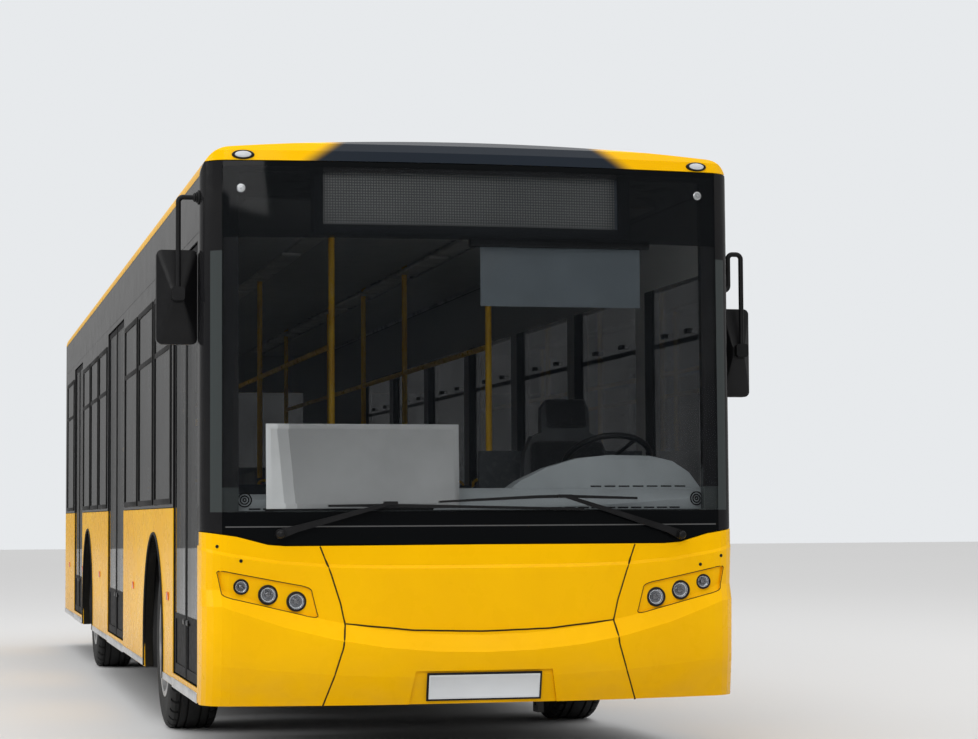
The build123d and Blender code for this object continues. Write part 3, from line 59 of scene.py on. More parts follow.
# Viewpoint: a long lens at chest height, off the door-side front corner of the bus.
# The focal length is in pixels of the 978-pixel-wide picture.
LENS_PIXELS = 2434.5
PICTURE_WIDTH = 978
SENSOR = 36
CAMERA_PLACE = (-2.4712, -16.907, 1.1491)
YAW = 0.22468
PITCH = 0.06069
ROLL = -0.00572
ahead = Vector((math.sin(YAW) * math.cos(PITCH), math.cos(YAW) * math.cos(PITCH), math.sin(PITCH)))
level_right = Vector((math.cos(YAW), -math.sin(YAW), 0))
level_up = level_right.cross(ahead)
right = level_right * math.cos(ROLL) + level_up * math.sin(ROLL)
up = level_up * math.cos(ROLL) - level_right * math.sin(ROLL)
bpy.ops.object.camera_add()
camera = bpy.context.object
camera.name = "camera"
camera.data.sensor_width = SENSOR
camera.data.lens = LENS_PIXELS / PICTURE_WIDTH * SENSOR
camera.data.clip_end = 400
turn = Matrix((right, up, -ahead)).transposed().to_4x4()
camera.matrix_world = Matrix.Translation(CAMERA_PLACE) @ turn
bpy.context.scene.camera = camera
bpy.context.scene.view_settings.view_transform = "Standard"


# Studio: a pale floor that runs out to a pale surround, one broad lamp overhead and two soft
# ones at the sides. Straight out the surround is pale; what lights the bus is a bright ceiling
# over darker walls.
def put(tree, kind, values=None, **options):
    """Add a shader node, set its options and give its inputs a value or a link."""
    made = tree.nodes.new("ShaderNode" + kind)
    for name, option in options.items():
        setattr(made, name, option)
    for name, value in (values or {}).items():
        if isinstance(value, bpy.types.NodeSocket):
            tree.links.new(value, made.inputs[name])
        else:
            made.inputs[name].default_value = value
    return made


def grey(level):
    """Neutral colour of one level."""
    return (level, level, level, 1)


SURROUND = (0.80, 0.82, 0.84, 1)
FLOOR_SIZE = 160
world = bpy.data.worlds.new("studio")
world.use_nodes = True
bpy.context.scene.world = world
tree = world.node_tree
path = put(tree, "LightPath")
seen = put(tree, "Math", {0: path.outputs["Is Camera Ray"], 1: path.outputs["Is Transmission Ray"]},
           operation="MAXIMUM")
height = put(tree, "SeparateXYZ", {0: put(tree, "TexCoord").outputs["Generated"]})
room = put(tree, "MapRange", {"Value": height.outputs[2], "From Min": 0.0, "From Max": 0.6,
                              "To Min": 0.24, "To Max": 1.05}, interpolation_type="SMOOTHSTEP")
lit = put(tree, "MixRGB", {"Fac": seen.outputs[0], "Color1": room.outputs[0], "Color2": SURROUND})
tree.links.new(lit.outputs["Color"], tree.nodes["Background"].inputs["Color"])

bpy.ops.object.select_all(action="DESELECT")
bpy.ops.mesh.primitive_plane_add(size=FLOOR_SIZE)
floor = bpy.context.object
floor.name = "studio_floor"
floor_finish = bpy.data.materials.new("studio_floor")
floor_finish.use_nodes = True
tree = floor_finish.node_tree
speck = put(tree, "TexNoise", {"Scale": 3.0, "Detail": 4.0})
tone = put(tree, "MixRGB", {"Fac": speck.outputs["Fac"], "Color1": grey(0.60), "Color2": grey(0.66)})
tree.links.new(tone.outputs["Color"], tree.nodes["Principled BSDF"].inputs["Base Color"])
tree.nodes["Principled BSDF"].inputs["Roughness"].default_value = 0.85
floor.data.materials.append(floor_finish)
floor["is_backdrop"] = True

# Columns: name, place, aim, width, power
LAMPS = [
    ("lamp_overhead", (0, -2, 14), (0, 0, 0), 16, 900),
    ("lamp_front", (-6, -22, 9), (0, -6, 1.5), 8, 820),
    ("lamp_kerb", (-22, -4, 13), (0, 0, 1.5), 14, 1500),
]
for name, place, aim, width, power in LAMPS:
    bpy.ops.object.light_add(type="AREA", location=place)
    lamp = bpy.context.object
    lamp.name = name
    lamp.data.shape = "SQUARE"
    lamp.data.size = width
    lamp.data.energy = power
    lamp.rotation_euler = (Vector(aim) - Vector(place)).to_track_quat("-Z", "Y").to_euler()


# Painted panels: sprayed two-pack yellow over fibre mouldings and sheet, glossy, with a faint
# orange-peel skin, painted shade and a little road film low down, and grey lining on the faces inside the
# saloon.
def finish(name):
    """New material: gives it, its tree and its shader."""
    material = bpy.data.materials.new(name)
    material.use_nodes = True
    return material, material.node_tree, material.node_tree.nodes["Principled BSDF"]


def place_on(tree):
    """Place on the object, in metres."""
    return put(tree, "TexCoord").outputs["Object"]


def axes(tree):
    """Place on the object as three values."""
    return put(tree, "SeparateXYZ", {0: place_on(tree)}).outputs


def noise(tree, scale, detail=2.0, stretch=(1, 1, 1)):
    """Cloudy pattern fixed to the object."""
    place = put(tree, "Mapping", {"Vector": place_on(tree), "Scale": stretch})
    cloud = put(tree, "TexNoise", {"Vector": place.outputs[0], "Scale": scale, "Detail": detail})
    return cloud.outputs["Fac"]


def fade(tree, value, start, end):
    """0 to 1, smoothly, while a value goes from a start to an end."""
    return put(tree, "MapRange", {"Value": value, "From Min": start, "From Max": end},
               interpolation_type="SMOOTHSTEP").outputs[0]


def spread(tree, value, low, high, to_low=0.0, to_high=1.0):
    """Part of a value's range stretched over another range."""
    return put(tree, "MapRange", {"Value": value, "From Min": low, "From Max": high,
                                  "To Min": to_low, "To Max": to_high}).outputs[0]


def maths(operation):
    """Function that adds one kind of arithmetic step to a tree and gives its result."""
    def step(tree, first, second=0.0):
        return put(tree, "Math", {0: first, 1: second}, operation=operation).outputs[0]
    return step


less, more, times = map(maths, ("LESS_THAN", "GREATER_THAN", "MULTIPLY"))
plus, minus, absolute = map(maths, ("ADD", "SUBTRACT", "ABSOLUTE"))
largest, least = map(maths, ("MAXIMUM", "MINIMUM"))


def blend(tree, factor, first, second):
    """Colour between two."""
    return put(tree, "MixRGB", {"Fac": factor, "Color1": first, "Color2": second}).outputs["Color"]


def join(tree, shader, **sockets):
    """Link values to a shader's sockets, whose names are written with underscores."""
    for name, value in sockets.items():
        socket = shader.inputs[name.replace("_", " ")]
        if isinstance(value, bpy.types.NodeSocket):
            tree.links.new(value, socket)
        else:
            socket.default_value = value


def relief(tree, shader, height, depth, strength=1.0):
    """Fine relief from a height pattern, its depth in metres."""
    bump = put(tree, "Bump", {"Height": height, "Distance": depth, "Strength": strength})
    tree.links.new(bump.outputs[0], shader.inputs["Normal"])


def facing_in(tree, centre, weights):
    """1 on faces that look towards a centre, counted along the weighted axes."""
    offset = put(tree, "VectorMath", {0: place_on(tree), 1: centre}, operation="SUBTRACT").outputs[0]
    offset = put(tree, "VectorMath", {0: offset, 1: weights}, operation="MULTIPLY").outputs[0]
    normal = put(tree, "TexCoord").outputs["Normal"]
    dot = put(tree, "VectorMath", {0: offset, 1: normal}, operation="DOT_PRODUCT").outputs["Value"]
    return less(tree, dot, -0.02)


def dress(material, *names):
    """Give CAD nodes their finish."""
    for name in names:
        nodes[name].data.materials.clear()
        nodes[name].data.materials.append(material)


YELLOW = (0.93, 0.50, 0.001, 1)
YELLOW_DEEP = (0.84, 0.43, 0.001, 1)
# Yellow of the painted shade low down on the panels
YELLOW_PAINTED_SHADE = (0.62, 0.31, 0.001, 1)
YELLOW_SHINE = (1.0, 0.72, 0.10, 1)
BLACK = (0.010, 0.010, 0.011, 1)
ROAD_FILM = (0.27, 0.20, 0.10, 1)
LINING = (0.42, 0.43, 0.43, 1)
# Middle of the saloon, which the lined faces look towards
SALOON = (0, 0, 1.6)
# Foot and rear end of the black corners under the windscreen's pillars
CORNER_Z, CORNER_Y = 1.028, -5.56


def yellow(tree):
    """Fresh yellow, a little uneven."""
    return blend(tree, spread(tree, noise(tree, 1.3, 3.0), 0.3, 0.7), YELLOW, YELLOW_DEEP)


def coated(tree, shader, peel=0.07):
    """Clear coat over paint, and its faint orange-peel skin."""
    join(tree, shader, Coat_Weight=0.05, Coat_Roughness=0.05, Coat_IOR=1.5)
    if peel:
        relief(tree, shader, noise(tree, 220, 1.0), 0.0003, peel)


def yellow_paint(name, weights=None, black_below=None, skin=None, shine=0.14, peel=0.07):
    """Yellow paint, darkened towards the skirt by painted shade, with road film that thickens there.

    With weights, faces that look inwards are lined in grey. It is black below a height, and on
    cut edges nearer to the middle than the skin.
    """
    material, tree, shader = finish(name)
    # Painted shade: the yellow darkens smoothly towards the skirt, where less light falls
    shade = blend(tree, times(tree, fade(tree, axes(tree)[2], 0.66, 0.26), 0.55), yellow(tree), YELLOW_PAINTED_SHADE)
    low = fade(tree, axes(tree)[2], 0.62, 0.28)
    patch = spread(tree, noise(tree, 5.0, 6.0, (1, 1, 2)), 0.38, 0.72)
    colour = blend(tree, times(tree, times(tree, low, patch), 0.12), shade, ROAD_FILM)
    gloss = spread(tree, noise(tree, 9.0, 4.0), 0.3, 0.8, 0.24, 0.36)
    if weights:
        inside = facing_in(tree, SALOON, weights)
        colour = blend(tree, inside, colour, LINING)
    if skin:
        x, y, z = axes(tree)
        deep = times(tree, less(tree, absolute(tree, x), skin), minus(tree, 1.0, inside))
        corner = times(tree, more(tree, z, CORNER_Z), less(tree, y, CORNER_Y))
        colour = blend(tree, largest(tree, deep, corner), colour, grey(0.012))
    if black_below:
        colour = blend(tree, less(tree, axes(tree)[2], black_below), colour, BLACK)
    join(tree, shader, Base_Color=colour, Roughness=gloss, Specular_IOR_Level=shine,
         Specular_Tint=YELLOW_SHINE)
    coated(tree, shader, peel)
    return material


dress(yellow_paint("mask_paint"), "front_hatch", "front_bumper", "front_corners", "engine_hatch")
dress(yellow_paint("side_paint", (1, 0, 0), skin=1.2705, shine=0.06, peel=0.0),
      "left_lower_wall", "right_lower_wall")
dress(yellow_paint("roof_paint", (0.2, 0, 1), 2.742, peel=0.0), "roof")
dress(yellow_paint("rear_paint", (1, 1, 0)), "rear_wall")


# Window band and pillars: gloss black paint from the waist to the roof edge, which carries on
# the look of the bonded glass. Inside it is lined like the rest of the saloon.
def black_paint(name, weights=None):
    """Gloss black paint; with weights, faces that look inwards are lined in grey."""
    material, tree, shader = finish(name)
    colour = blend(tree, spread(tree, noise(tree, 2.0, 4.0), 0.35, 0.75), BLACK, grey(0.018))
    if weights:
        colour = blend(tree, facing_in(tree, SALOON, weights), colour, LINING)
    gloss = spread(tree, noise(tree, 7.0, 5.0), 0.3, 0.8, 0.08, 0.17)
    join(tree, shader, Base_Color=colour, Roughness=gloss, Specular_IOR_Level=0.12)
    relief(tree, shader, noise(tree, 1.1, 1.0), 0.004, 0.06)
    return material


dress(black_paint("band_paint", (1, 0, 0)), "left_upper_wall", "right_upper_wall")

# Pillars of the windscreen: black outside, with grey plastic lining that shows through the clear
# edge of the glass, down to the ends of the dashboard.
EDGE_INNER, EDGE_OUTER = 1.186, 1.236
LINED_FOOT, DASH_TOP, LINED_HEAD = 1.18, 1.292, 2.38
pillar_paint = black_paint("pillar_paint")
tree = pillar_paint.node_tree
shader = tree.nodes["Principled BSDF"]
x, _, z = axes(tree)
sideways = absolute(tree, x)
lined = times(tree, more(tree, sideways, EDGE_INNER), less(tree, z, LINED_HEAD))
lined = largest(tree, lined, less(tree, z, DASH_TOP))
lined = times(tree, lined, less(tree, sideways, EDGE_OUTER))
lined = times(tree, lined, more(tree, z, LINED_FOOT))
shade = shader.inputs["Base Color"].links[0].from_socket
join(tree, shader, Base_Color=blend(tree, lined, shade, (0.045, 0.052, 0.052, 1)))
dress(pillar_paint, "front_frame")

# Roof cowl: the moulding above the windscreen, yellow at its corners and fading to a dark
# gloss over the destination board. The dark field narrows upwards.
FIELD_LEFT, FIELD_RIGHT, FIELD_Z, FIELD_SLANT = -0.83, 0.77, 2.80, 1.4
material, tree, shader = finish("cowl_paint")
x, y, z = axes(tree)
slant = times(tree, minus(tree, z, FIELD_Z), FIELD_SLANT)
left_edge = minus(tree, x, plus(tree, FIELD_LEFT, slant))
right_edge = minus(tree, minus(tree, FIELD_RIGHT, slant), x)
dark = times(tree, fade(tree, least(tree, left_edge, right_edge), -0.02, 0.10), fade(tree, y, -5.52, -5.62))
join(tree, shader, Base_Color=blend(tree, dark, yellow(tree), (0.009, 0.014, 0.022, 1)), Roughness=0.16,
     Specular_IOR_Level=0.12, Specular_Tint=blend(tree, dark, YELLOW_SHINE, grey(1.0)))
coated(tree, shader)
dress(material, "front_cowl")


# Glass: laminated windscreen with a printed black border and header, and tinted side, rear and
# door panes. What is behind shows darkly through them.
def glazing(name, tint, cover, shine, print_mask=None):
    """Tinted glass that covers a share of what is behind it; the print covers all of it."""
    material, tree, shader = finish(name)
    smear = spread(tree, noise(tree, 3.0, 5.0), 0.35, 0.75)
    colour = blend(tree, smear, tint, tuple(c * 1.35 for c in tint[:3]) + (1,))
    opacity = spread(tree, smear, 0.0, 1.0, cover, cover + 0.05)
    if print_mask:
        printed, strip = print_mask(tree)
        colour = blend(tree, printed, colour, (0.0025, 0.003, 0.0035, 1))
        opacity = largest(tree, opacity, printed)
        colour = blend(tree, strip, colour, grey(0.09))
    join(tree, shader, Base_Color=colour, Alpha=opacity, Roughness=0.03, Specular_IOR_Level=shine)
    relief(tree, shader, noise(tree, 1.7, 1.0), 0.002, 0.05)
    return material


PRINT_SIDE, PRINT_FOOT, PRINT_HEAD = 1.232, 1.178, 2.772
HEADER_FOOT, HEADER_COVER = 2.442, 0.72
BOARD_MIDDLE, BOARD_HALF, BOARD_FOOT = -0.02, 0.705, 2.505
STRIP_Z, STRIP_THICK, STRIP_HALF = 1.112, 0.0028, 1.17


def screen_print(tree):
    """Where the windscreen is printed black, and the thin bright strip along its foot."""
    x, _, z = axes(tree)
    sideways = absolute(tree, x)
    border = largest(tree, more(tree, sideways, PRINT_SIDE), less(tree, z, PRINT_FOOT))
    border = largest(tree, border, more(tree, z, PRINT_HEAD))
    beside_board = more(tree, absolute(tree, minus(tree, x, BOARD_MIDDLE)), BOARD_HALF)
    around = largest(tree, beside_board, less(tree, z, BOARD_FOOT))
    header = times(tree, more(tree, z, HEADER_FOOT), around)
    printed = largest(tree, border, times(tree, header, HEADER_COVER))
    strip = less(tree, absolute(tree, minus(tree, z, STRIP_Z)), STRIP_THICK)
    return printed, times(tree, strip, less(tree, sideways, STRIP_HALF))


def named(start, end=""):
    """Names of the CAD nodes that start and end in a way."""
    return [name for name in nodes if name.startswith(start) and name.endswith(end)]


dress(glazing("screen_glass", (0.010, 0.012, 0.014, 1), 0.16, 0.10, screen_print), "windscreen")
dress(glazing("side_glass", (0.007, 0.0085, 0.0095, 1), 0.78, 0.45), "saloon_glass")
dress(glazing("door_glass", (0.010, 0.012, 0.013, 1), 0.58, 0.45), *named("door_", "_glass"))


# Moulded plastic and rubber: black mirrors, wipers and trims with a fine grain. Seats, dashboard,
# poles and the painted iron below take the same finish in colours of their own.
def moulded(name, colour, roughness, grain=900.0, depth=0.0004, shine=0.25, vary=1.5):
    """Moulded plastic or rubber with a fine grain."""
    material, tree, shader = finish(name)
    cloud = spread(tree, noise(tree, 6.0, 5.0), 0.35, 0.75)
    lighter = tuple(min(1, c * vary + 0.002) for c in colour[:3]) + (1,)
    join(tree, shader, Base_Color=blend(tree, cloud, colour, lighter),
         Roughness=spread(tree, noise(tree, 30.0, 3.0), 0.3, 0.7, roughness - 0.06, roughness + 0.06),
         Specular_IOR_Level=shine)
    relief(tree, shader, noise(tree, grain, 2.0), depth, 0.35)
    return material


black_plastic = moulded("black_plastic", (0.0045, 0.0045, 0.005, 1), 0.36, shine=0.16)
rubber = moulded("rubber", (0.008, 0.008, 0.008, 1), 0.62, shine=0.15)
dress(black_plastic, "mirrors", "steering_wheel", "wipers")
leaves = named("door_", "_leaf")
dress(moulded("leaf_paint", (0.006, 0.006, 0.007, 1), 0.55, 300.0, shine=0.08), *leaves)
dress(moulded("dash_plastic", (0.30, 0.335, 0.35, 1), 0.55, 500.0, vary=1.12), "dashboard")
dress(moulded("seat_base", (0.06, 0.065, 0.07, 1), 0.5), "driver_seat")
dress(moulded("chassis_paint", (0.020, 0.020, 0.020, 1), 0.6, 200.0, 0.001), "front_apron", "front_axle")
dress(moulded("iron", (0.06, 0.058, 0.055, 1), 0.7, 160.0, 0.002),
      "rear_axle", "knuckle_left", "knuckle_right", "engine_block")
pole_paint = moulded("pole_paint", (0.78, 0.42, 0.01, 1), 0.30)
dress(pole_paint, "grab_poles")
dress(moulded("seat_shell", (0.10, 0.11, 0.13, 1), 0.45), "seats")
dress(moulded("smoked_board", (0.05, 0.055, 0.06, 1), 0.25), "driver_partition")
tyre_rubber = moulded("tyre_rubber", (0.016, 0.016, 0.016, 1), 0.75, 300.0, 0.001)
dress(tyre_rubber, *named("tyre_"))


# Bare and plated metal: zinc-plated door gear and lacquered steel rims, with a little grime that
# gathers in patches.
def metal(name, colour, roughness, grime=0.25, grain=0.3):
    """Plated or painted metal with a little grime."""
    material, tree, shader = finish(name)
    dirt = times(tree, spread(tree, noise(tree, 8.0, 6.0), 0.45, 0.8), grime)
    join(tree, shader, Base_Color=blend(tree, dirt, colour, (0.05, 0.045, 0.04, 1)), Metallic=0.85,
         Roughness=spread(tree, noise(tree, 40.0, 3.0), 0.3, 0.7, roughness - 0.05, roughness + 0.08))
    relief(tree, shader, noise(tree, 400.0, 2.0), 0.0003, grain)
    return material


dress(metal("zinc_plate", (0.52, 0.53, 0.54, 1), 0.38), "door_rails", *named("door_", "_post"))
dress(metal("rim_paint", (0.45, 0.45, 0.45, 1), 0.45, 0.6), *named("rim_"))


# Floor and wheel boxes: speckled non-slip covering above, black underseal below and on the faces
# of the boxes that look at a wheel.
def halfway(low, high):
    """Middle between two corners."""
    return [(start + end) / 2 for start, end in zip(low, high)]


UNDERSEAL = (0.018, 0.018, 0.018, 1)
material, tree, shader = finish("floor_cover")
speck = put(tree, "TexVoronoi", {"Vector": place_on(tree), "Scale": 140.0}).outputs["Distance"]
cover = blend(tree, less(tree, speck, 0.18), (0.10, 0.105, 0.11, 1), grey(0.3))
facing = put(tree, "SeparateXYZ", {0: put(tree, "TexCoord").outputs["Normal"]}).outputs[2]
join(tree, shader, Base_Color=blend(tree, more(tree, facing, 0.5), UNDERSEAL, cover), Roughness=0.7)
relief(tree, shader, noise(tree, 90.0, 3.0), 0.001, 0.4)
dress(material, "floor")

material, tree, shader = finish("wheel_box")
front_y = halfway(*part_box("tyre_front_left"))[1]
rear_y = halfway(*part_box("tyre_rear_left"))[1]
HUB_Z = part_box("tyre_rear_left")[1].z / 2
WHEEL_X = 1.08
BOX_REACH = 1.1
hidden = 0.0
for centre in [(side * WHEEL_X, y, HUB_Z) for side in (-1, 1) for y in (front_y, rear_y)]:
    near = put(tree, "VectorMath", {0: place_on(tree), 1: centre}, operation="DISTANCE").outputs["Value"]
    turned_in = times(tree, less(tree, near, BOX_REACH), facing_in(tree, centre, (1, 1, 1)))
    hidden = largest(tree, hidden, turned_in)
panel = blend(tree, spread(tree, noise(tree, 4.0, 4.0), 0.3, 0.7), LINING, grey(0.33))
join(tree, shader, Base_Color=blend(tree, hidden, panel, UNDERSEAL), Roughness=0.6)
relief(tree, shader, noise(tree, 300.0, 2.0), 0.0006, 0.4)
dress(material, "inner_boxes")

# Destination board: a dark housing behind the top of the windscreen, with a matrix of unlit
# round lamps on its face.
MATRIX_X, MATRIX_Z = (-0.725, 0.685), (2.505, 2.771)
LAMP_PITCH, LAMP_SIZE = 0.0127, 0.12
material, tree, shader = finish("matrix_board")
x, _, z = axes(tree)
squares, masks = [], []
for place, (start, end) in ((x, MATRIX_X), (z, MATRIX_Z)):
    cell = minus(tree, maths("FRACT")(tree, maths("DIVIDE")(tree, place, LAMP_PITCH)), 0.5)
    squares.append(times(tree, cell, cell))
    masks.append(times(tree, more(tree, place, start), less(tree, place, end)))
dot = less(tree, plus(tree, *squares), LAMP_SIZE)
face = blend(tree, dot, (0.035, 0.040, 0.045, 1), (0.13, 0.135, 0.13, 1))
join(tree, shader, Base_Color=blend(tree, times(tree, *masks), (0.045, 0.055, 0.07, 1), face), Roughness=0.4)
dress(material, "destination_display")


# Headlamps: three round units in each pod, each a chromed bowl with its bulb, a black ring and a
# clear glass cover. They are pressed into the pod from behind.
def clear_selection():
    """Nothing selected, so that the next operator acts on its own piece alone."""
    bpy.ops.object.select_all(action="DESELECT")


def alone(piece):
    """Only this piece selected and active."""
    clear_selection()
    piece.select_set(True)
    bpy.context.view_layer.objects.active = piece


def settle(piece, matrix):
    """Put a piece in place and write its place, turn and size into its mesh."""
    alone(piece)
    piece.matrix_world = matrix
    bpy.ops.object.transform_apply(location=True, rotation=True, scale=True)
    return piece


def mode(name):
    """Go to edit mode or back to object mode."""
    bpy.ops.object.mode_set(mode=name)


def smooth(piece, angle=35.0):
    """Smooth shading, with edges sharper than the angle kept."""
    alone(piece)
    bpy.ops.object.shade_smooth_by_angle(angle=math.radians(angle))
    return piece


def turned(profile, steps):
    """Piece turned about Z: a circle extruded ring by ring through (radius, height) pairs."""
    clear_selection()
    radius, height = profile[0]
    bpy.ops.mesh.primitive_circle_add(vertices=steps, radius=radius, fill_type="NOTHING")
    piece = bpy.context.object
    mode("EDIT")
    bpy.ops.mesh.select_mode(type="VERT")
    bpy.ops.mesh.select_all(action="SELECT")
    bpy.ops.transform.translate(value=(0, 0, height))
    for next_radius, next_height in profile[1:]:
        bpy.ops.mesh.extrude_region_move(TRANSFORM_OT_translate={"value": (0, 0, next_height - height)})
        scale = next_radius / radius
        bpy.ops.transform.resize(value=(scale, scale, 1), center_override=(0, 0, next_height))
        radius, height = next_radius, next_height
    if profile[-1] == profile[0]:
        bpy.ops.mesh.select_all(action="SELECT")
        bpy.ops.mesh.remove_doubles(threshold=0.00005)
    else:
        bpy.ops.mesh.edge_face_add()
    bpy.ops.mesh.select_all(action="SELECT")
    bpy.ops.mesh.normals_make_consistent(inside=False)
    mode("OBJECT")
    return smooth(piece)


def scaled(profile, radius):
    """Profile whose radii are shares of a radius."""
    return [(radius * share, height) for share, height in profile]


def aim(piece, place, outward, stretch=(1, 1, 1)):
    """Put a piece made round Z at a place, its Z outward and its X level."""
    z = Vector(outward).normalized()
    x = Vector((0, 0, 1)).cross(z)
    x = x.normalized() if x.length > 0.01 else Vector((1, 0, 0))
    turn = Matrix((x, z.cross(x), z)).transposed().to_4x4()
    return settle(piece, Matrix.Translation(place) @ turn @ Matrix.Diagonal((*stretch, 1)))


def gather(name, pieces):
    """Several pieces of one finish as one object."""
    clear_selection()
    for piece in pieces:
        piece.select_set(True)
    bpy.context.view_layer.objects.active = pieces[0]
    bpy.ops.object.join()
    pieces[0].name = name
    return pieces[0]


def fit(piece, material, body="body"):
    """Give a piece its finish and the body it rides on."""
    piece.data.materials.clear()
    piece.data.materials.append(material)
    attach(piece, body)
    return piece


# Y of a place well ahead of the bus
FAR_AHEAD = -7


def meet(name, start, way=(0, 1, 0)):
    """Where a line, seen from ahead unless told, first meets a CAD node, and how the node faces there."""
    hit, place, normal, _ = nodes[name].ray_cast(Vector(start), Vector(way))
    assert hit, (name, start)
    return place, normal


# Columns: x, height, radius
HEADLAMPS = [(1.100, 0.840, 0.032), (0.980, 0.803, 0.041), (0.853, 0.772, 0.041)]
# Columns: share of the lamp's radius, height
LAMP_PROFILES = [
    [(0.84, -0.012), (0.86, 0.004), (0.96, 0.0075), (1.10, 0.005), (1.13, -0.003), (0.95, -0.012),
     (0.84, -0.012)],
    [(0.86, 0.001), (0.80, -0.002), (0.74, -0.010), (0.70, -0.010), (0.60, -0.018), (0.42, -0.024),
     (0.30, -0.026), (0.04, -0.026)],
    [(0.87, 0.0005), (0.80, 0.0035), (0.55, 0.0060), (0.25, 0.0072), (0.03, 0.0075)],
    [(0.34, -0.025), (0.36, -0.016), (0.28, -0.009), (0.10, -0.007), (0.02, -0.007)],
]
rings, bowls, covers, bulbs = [], [], [], []
for side in (-1, 1):
    for x, z, r in HEADLAMPS:
        place = meet("headlamps", (side * x, FAR_AHEAD, z))[0]
        for parts, profile in zip((rings, bowls, covers, bulbs), LAMP_PROFILES):
            parts.append(aim(turned(scaled(profile, r), 40), place, (0, -1, 0)))
chrome = metal("chrome", (0.78, 0.80, 0.83, 1), 0.12, 0.10, 0.02)
lamp_glass = glazing("lamp_glass", (0.30, 0.32, 0.34, 1), 0.02, 0.5)
fit(gather("headlamp_bowls", bowls), chrome)
fit(gather("headlamp_bulbs", bulbs), metal("bulb_shield", (0.16, 0.16, 0.17, 1), 0.22))
fit(gather("headlamp_covers", covers), lamp_glass)
bezels = fit(gather("headlamp_rings", rings), black_plastic)
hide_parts("headlamps")


# Marker lamps: small oval white lamps in black rims on the two corners of the cowl. Each is
# stuck to the moulding over its wire.
def on_front(node, spots, profile, steps, stretch=(1, 1, 1)):
    """Turned fittings on a CAD node's outer face, at (x, z) spots seen from ahead."""
    return [aim(turned(profile, steps), *meet(node, (x, FAR_AHEAD, z)), stretch) for x, z in spots]


MARKERS = [(-1.09, 2.823), (1.09, 2.823)]
MARKER_RADIUS = 0.050
MARKER_STRETCH = (1, 0.42, 1)
RIM = [(0.78, 0.000), (0.80, 0.011), (0.90, 0.0125), (1.02, 0.008), (1.06, -0.002), (0.90, -0.004),
       (0.78, 0.000)]
LENS = [(0.80, 0.004), (0.74, 0.011), (0.50, 0.0145), (0.20, 0.0155), (0.02, 0.0158)]
rims, lenses = [on_front("front_cowl", MARKERS, scaled(profile, MARKER_RADIUS), 40, MARKER_STRETCH)
                for profile in (RIM, LENS)]
white_lens = moulded("white_lens", (0.52, 0.54, 0.56, 1), 0.18, 500.0, vary=1.1)
fit(gather("marker_rims", rims), black_plastic)
fit(gather("marker_lenses", lenses), white_lens)


# Number plates: blank pressed sheet with a raised edge in a black holder, one in the bumper's
# recess and one on the rear wall. Each holder is stuck to its panel.
def block(name, low, high, edge=0.0, steps=2):
    """Block between two corners, its edges rounded by a bevel."""
    clear_selection()
    low, high = Vector(low), Vector(high)
    bpy.ops.mesh.primitive_cube_add(size=1, location=(low + high) / 2, scale=high - low)
    piece = bpy.context.object
    piece.name = name
    bpy.ops.object.transform_apply(location=True, rotation=True, scale=True)
    if edge:
        bevel = piece.modifiers.new("bevel", "BEVEL")
        bevel.width = edge
        bevel.segments = steps
        bpy.ops.object.modifier_apply(modifier="bevel")
        smooth(piece)
    return piece


def pick_out(piece, kind, test):
    """Enter edit mode with only the faces or edges selected that pass a test."""
    alone(piece)
    mode("EDIT")
    bpy.ops.mesh.select_mode(type=kind)
    bpy.ops.mesh.select_all(action="DESELECT")
    mode("OBJECT")
    for element in piece.data.polygons if kind == "FACE" else piece.data.edges:
        element.select = test(element)
    mode("EDIT")


def dished(piece, rim, depth):
    """Upper face of a piece, inset by a rim and pushed in."""
    upper = [face for face in piece.data.polygons if face.normal.z > 0.99]
    widest = max(upper, key=lambda face: face.area).index
    pick_out(piece, "FACE", lambda face: face.index == widest)
    bpy.ops.mesh.inset(thickness=rim, depth=0)
    bpy.ops.mesh.inset(thickness=depth, depth=-depth)
    mode("OBJECT")
    return piece


# Half width and half height of the sheet, and how far the holder reaches round it
HALF, TALL, HOLDER_EDGE = 0.260, 0.0565, 0.010
PLATE_LIFT = 0.002
# Heights on the bumper's recess between which the front plate leans, and that of the rear plate
RECESS = (0.435, 0.325)
REAR_PLATE_Z = 0.42
plate_white = moulded("plate_white", (0.56, 0.58, 0.60, 1), 0.35, 200.0, vary=1.06)
top, foot = [meet("front_bumper", (0, FAR_AHEAD, z))[0] for z in RECESS]
rise = (top - foot).normalized()
rear_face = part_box("rear_wall")[1].y
PLATES = [("front", (top + foot) / 2, Vector((0, -rise.z, rise.y))),
          ("rear", Vector((0, rear_face, REAR_PLATE_Z)), Vector((0, 1, 0)))]
across, upright = HALF + HOLDER_EDGE, TALL + HOLDER_EDGE
for name, centre, outward in PLATES:
    holder = block("plate_holder_" + name, (-across, -upright, 0.0), (across, upright, 0.007), 0.0025)
    sheet = block("number_plate_" + name, (-HALF, -TALL, 0.005), (HALF, TALL, 0.0105), 0.0015)
    sheet = dished(sheet, 0.005, 0.0015)
    fit(aim(holder, centre + outward * PLATE_LIFT, outward), black_plastic)
    fit(aim(sheet, centre + outward * PLATE_LIFT, outward), plate_white)

# Placard: a blank board that stands on the dashboard behind the windscreen. A clip rail at its
# foot holds it.
PLACARD_PLACE, PLACARD_FACING = (-0.535, -5.826, 1.388), (0.045, -1, 0.03)
board = block("placard", (-0.455, -0.195, -0.004), (0.455, 0.195, 0.004), 0.002)
board = dished(board, 0.022, 0.001)
placard_paper = moulded("placard_paper", (0.36, 0.375, 0.38, 1), 0.5, 120.0, vary=1.12)
fit(aim(board, PLACARD_PLACE, PLACARD_FACING), placard_paper)
clip = block("placard_clip", (-0.99, -5.835, 1.168), (-0.08, -5.808, 1.200), 0.004)
fit(clip, black_plastic)

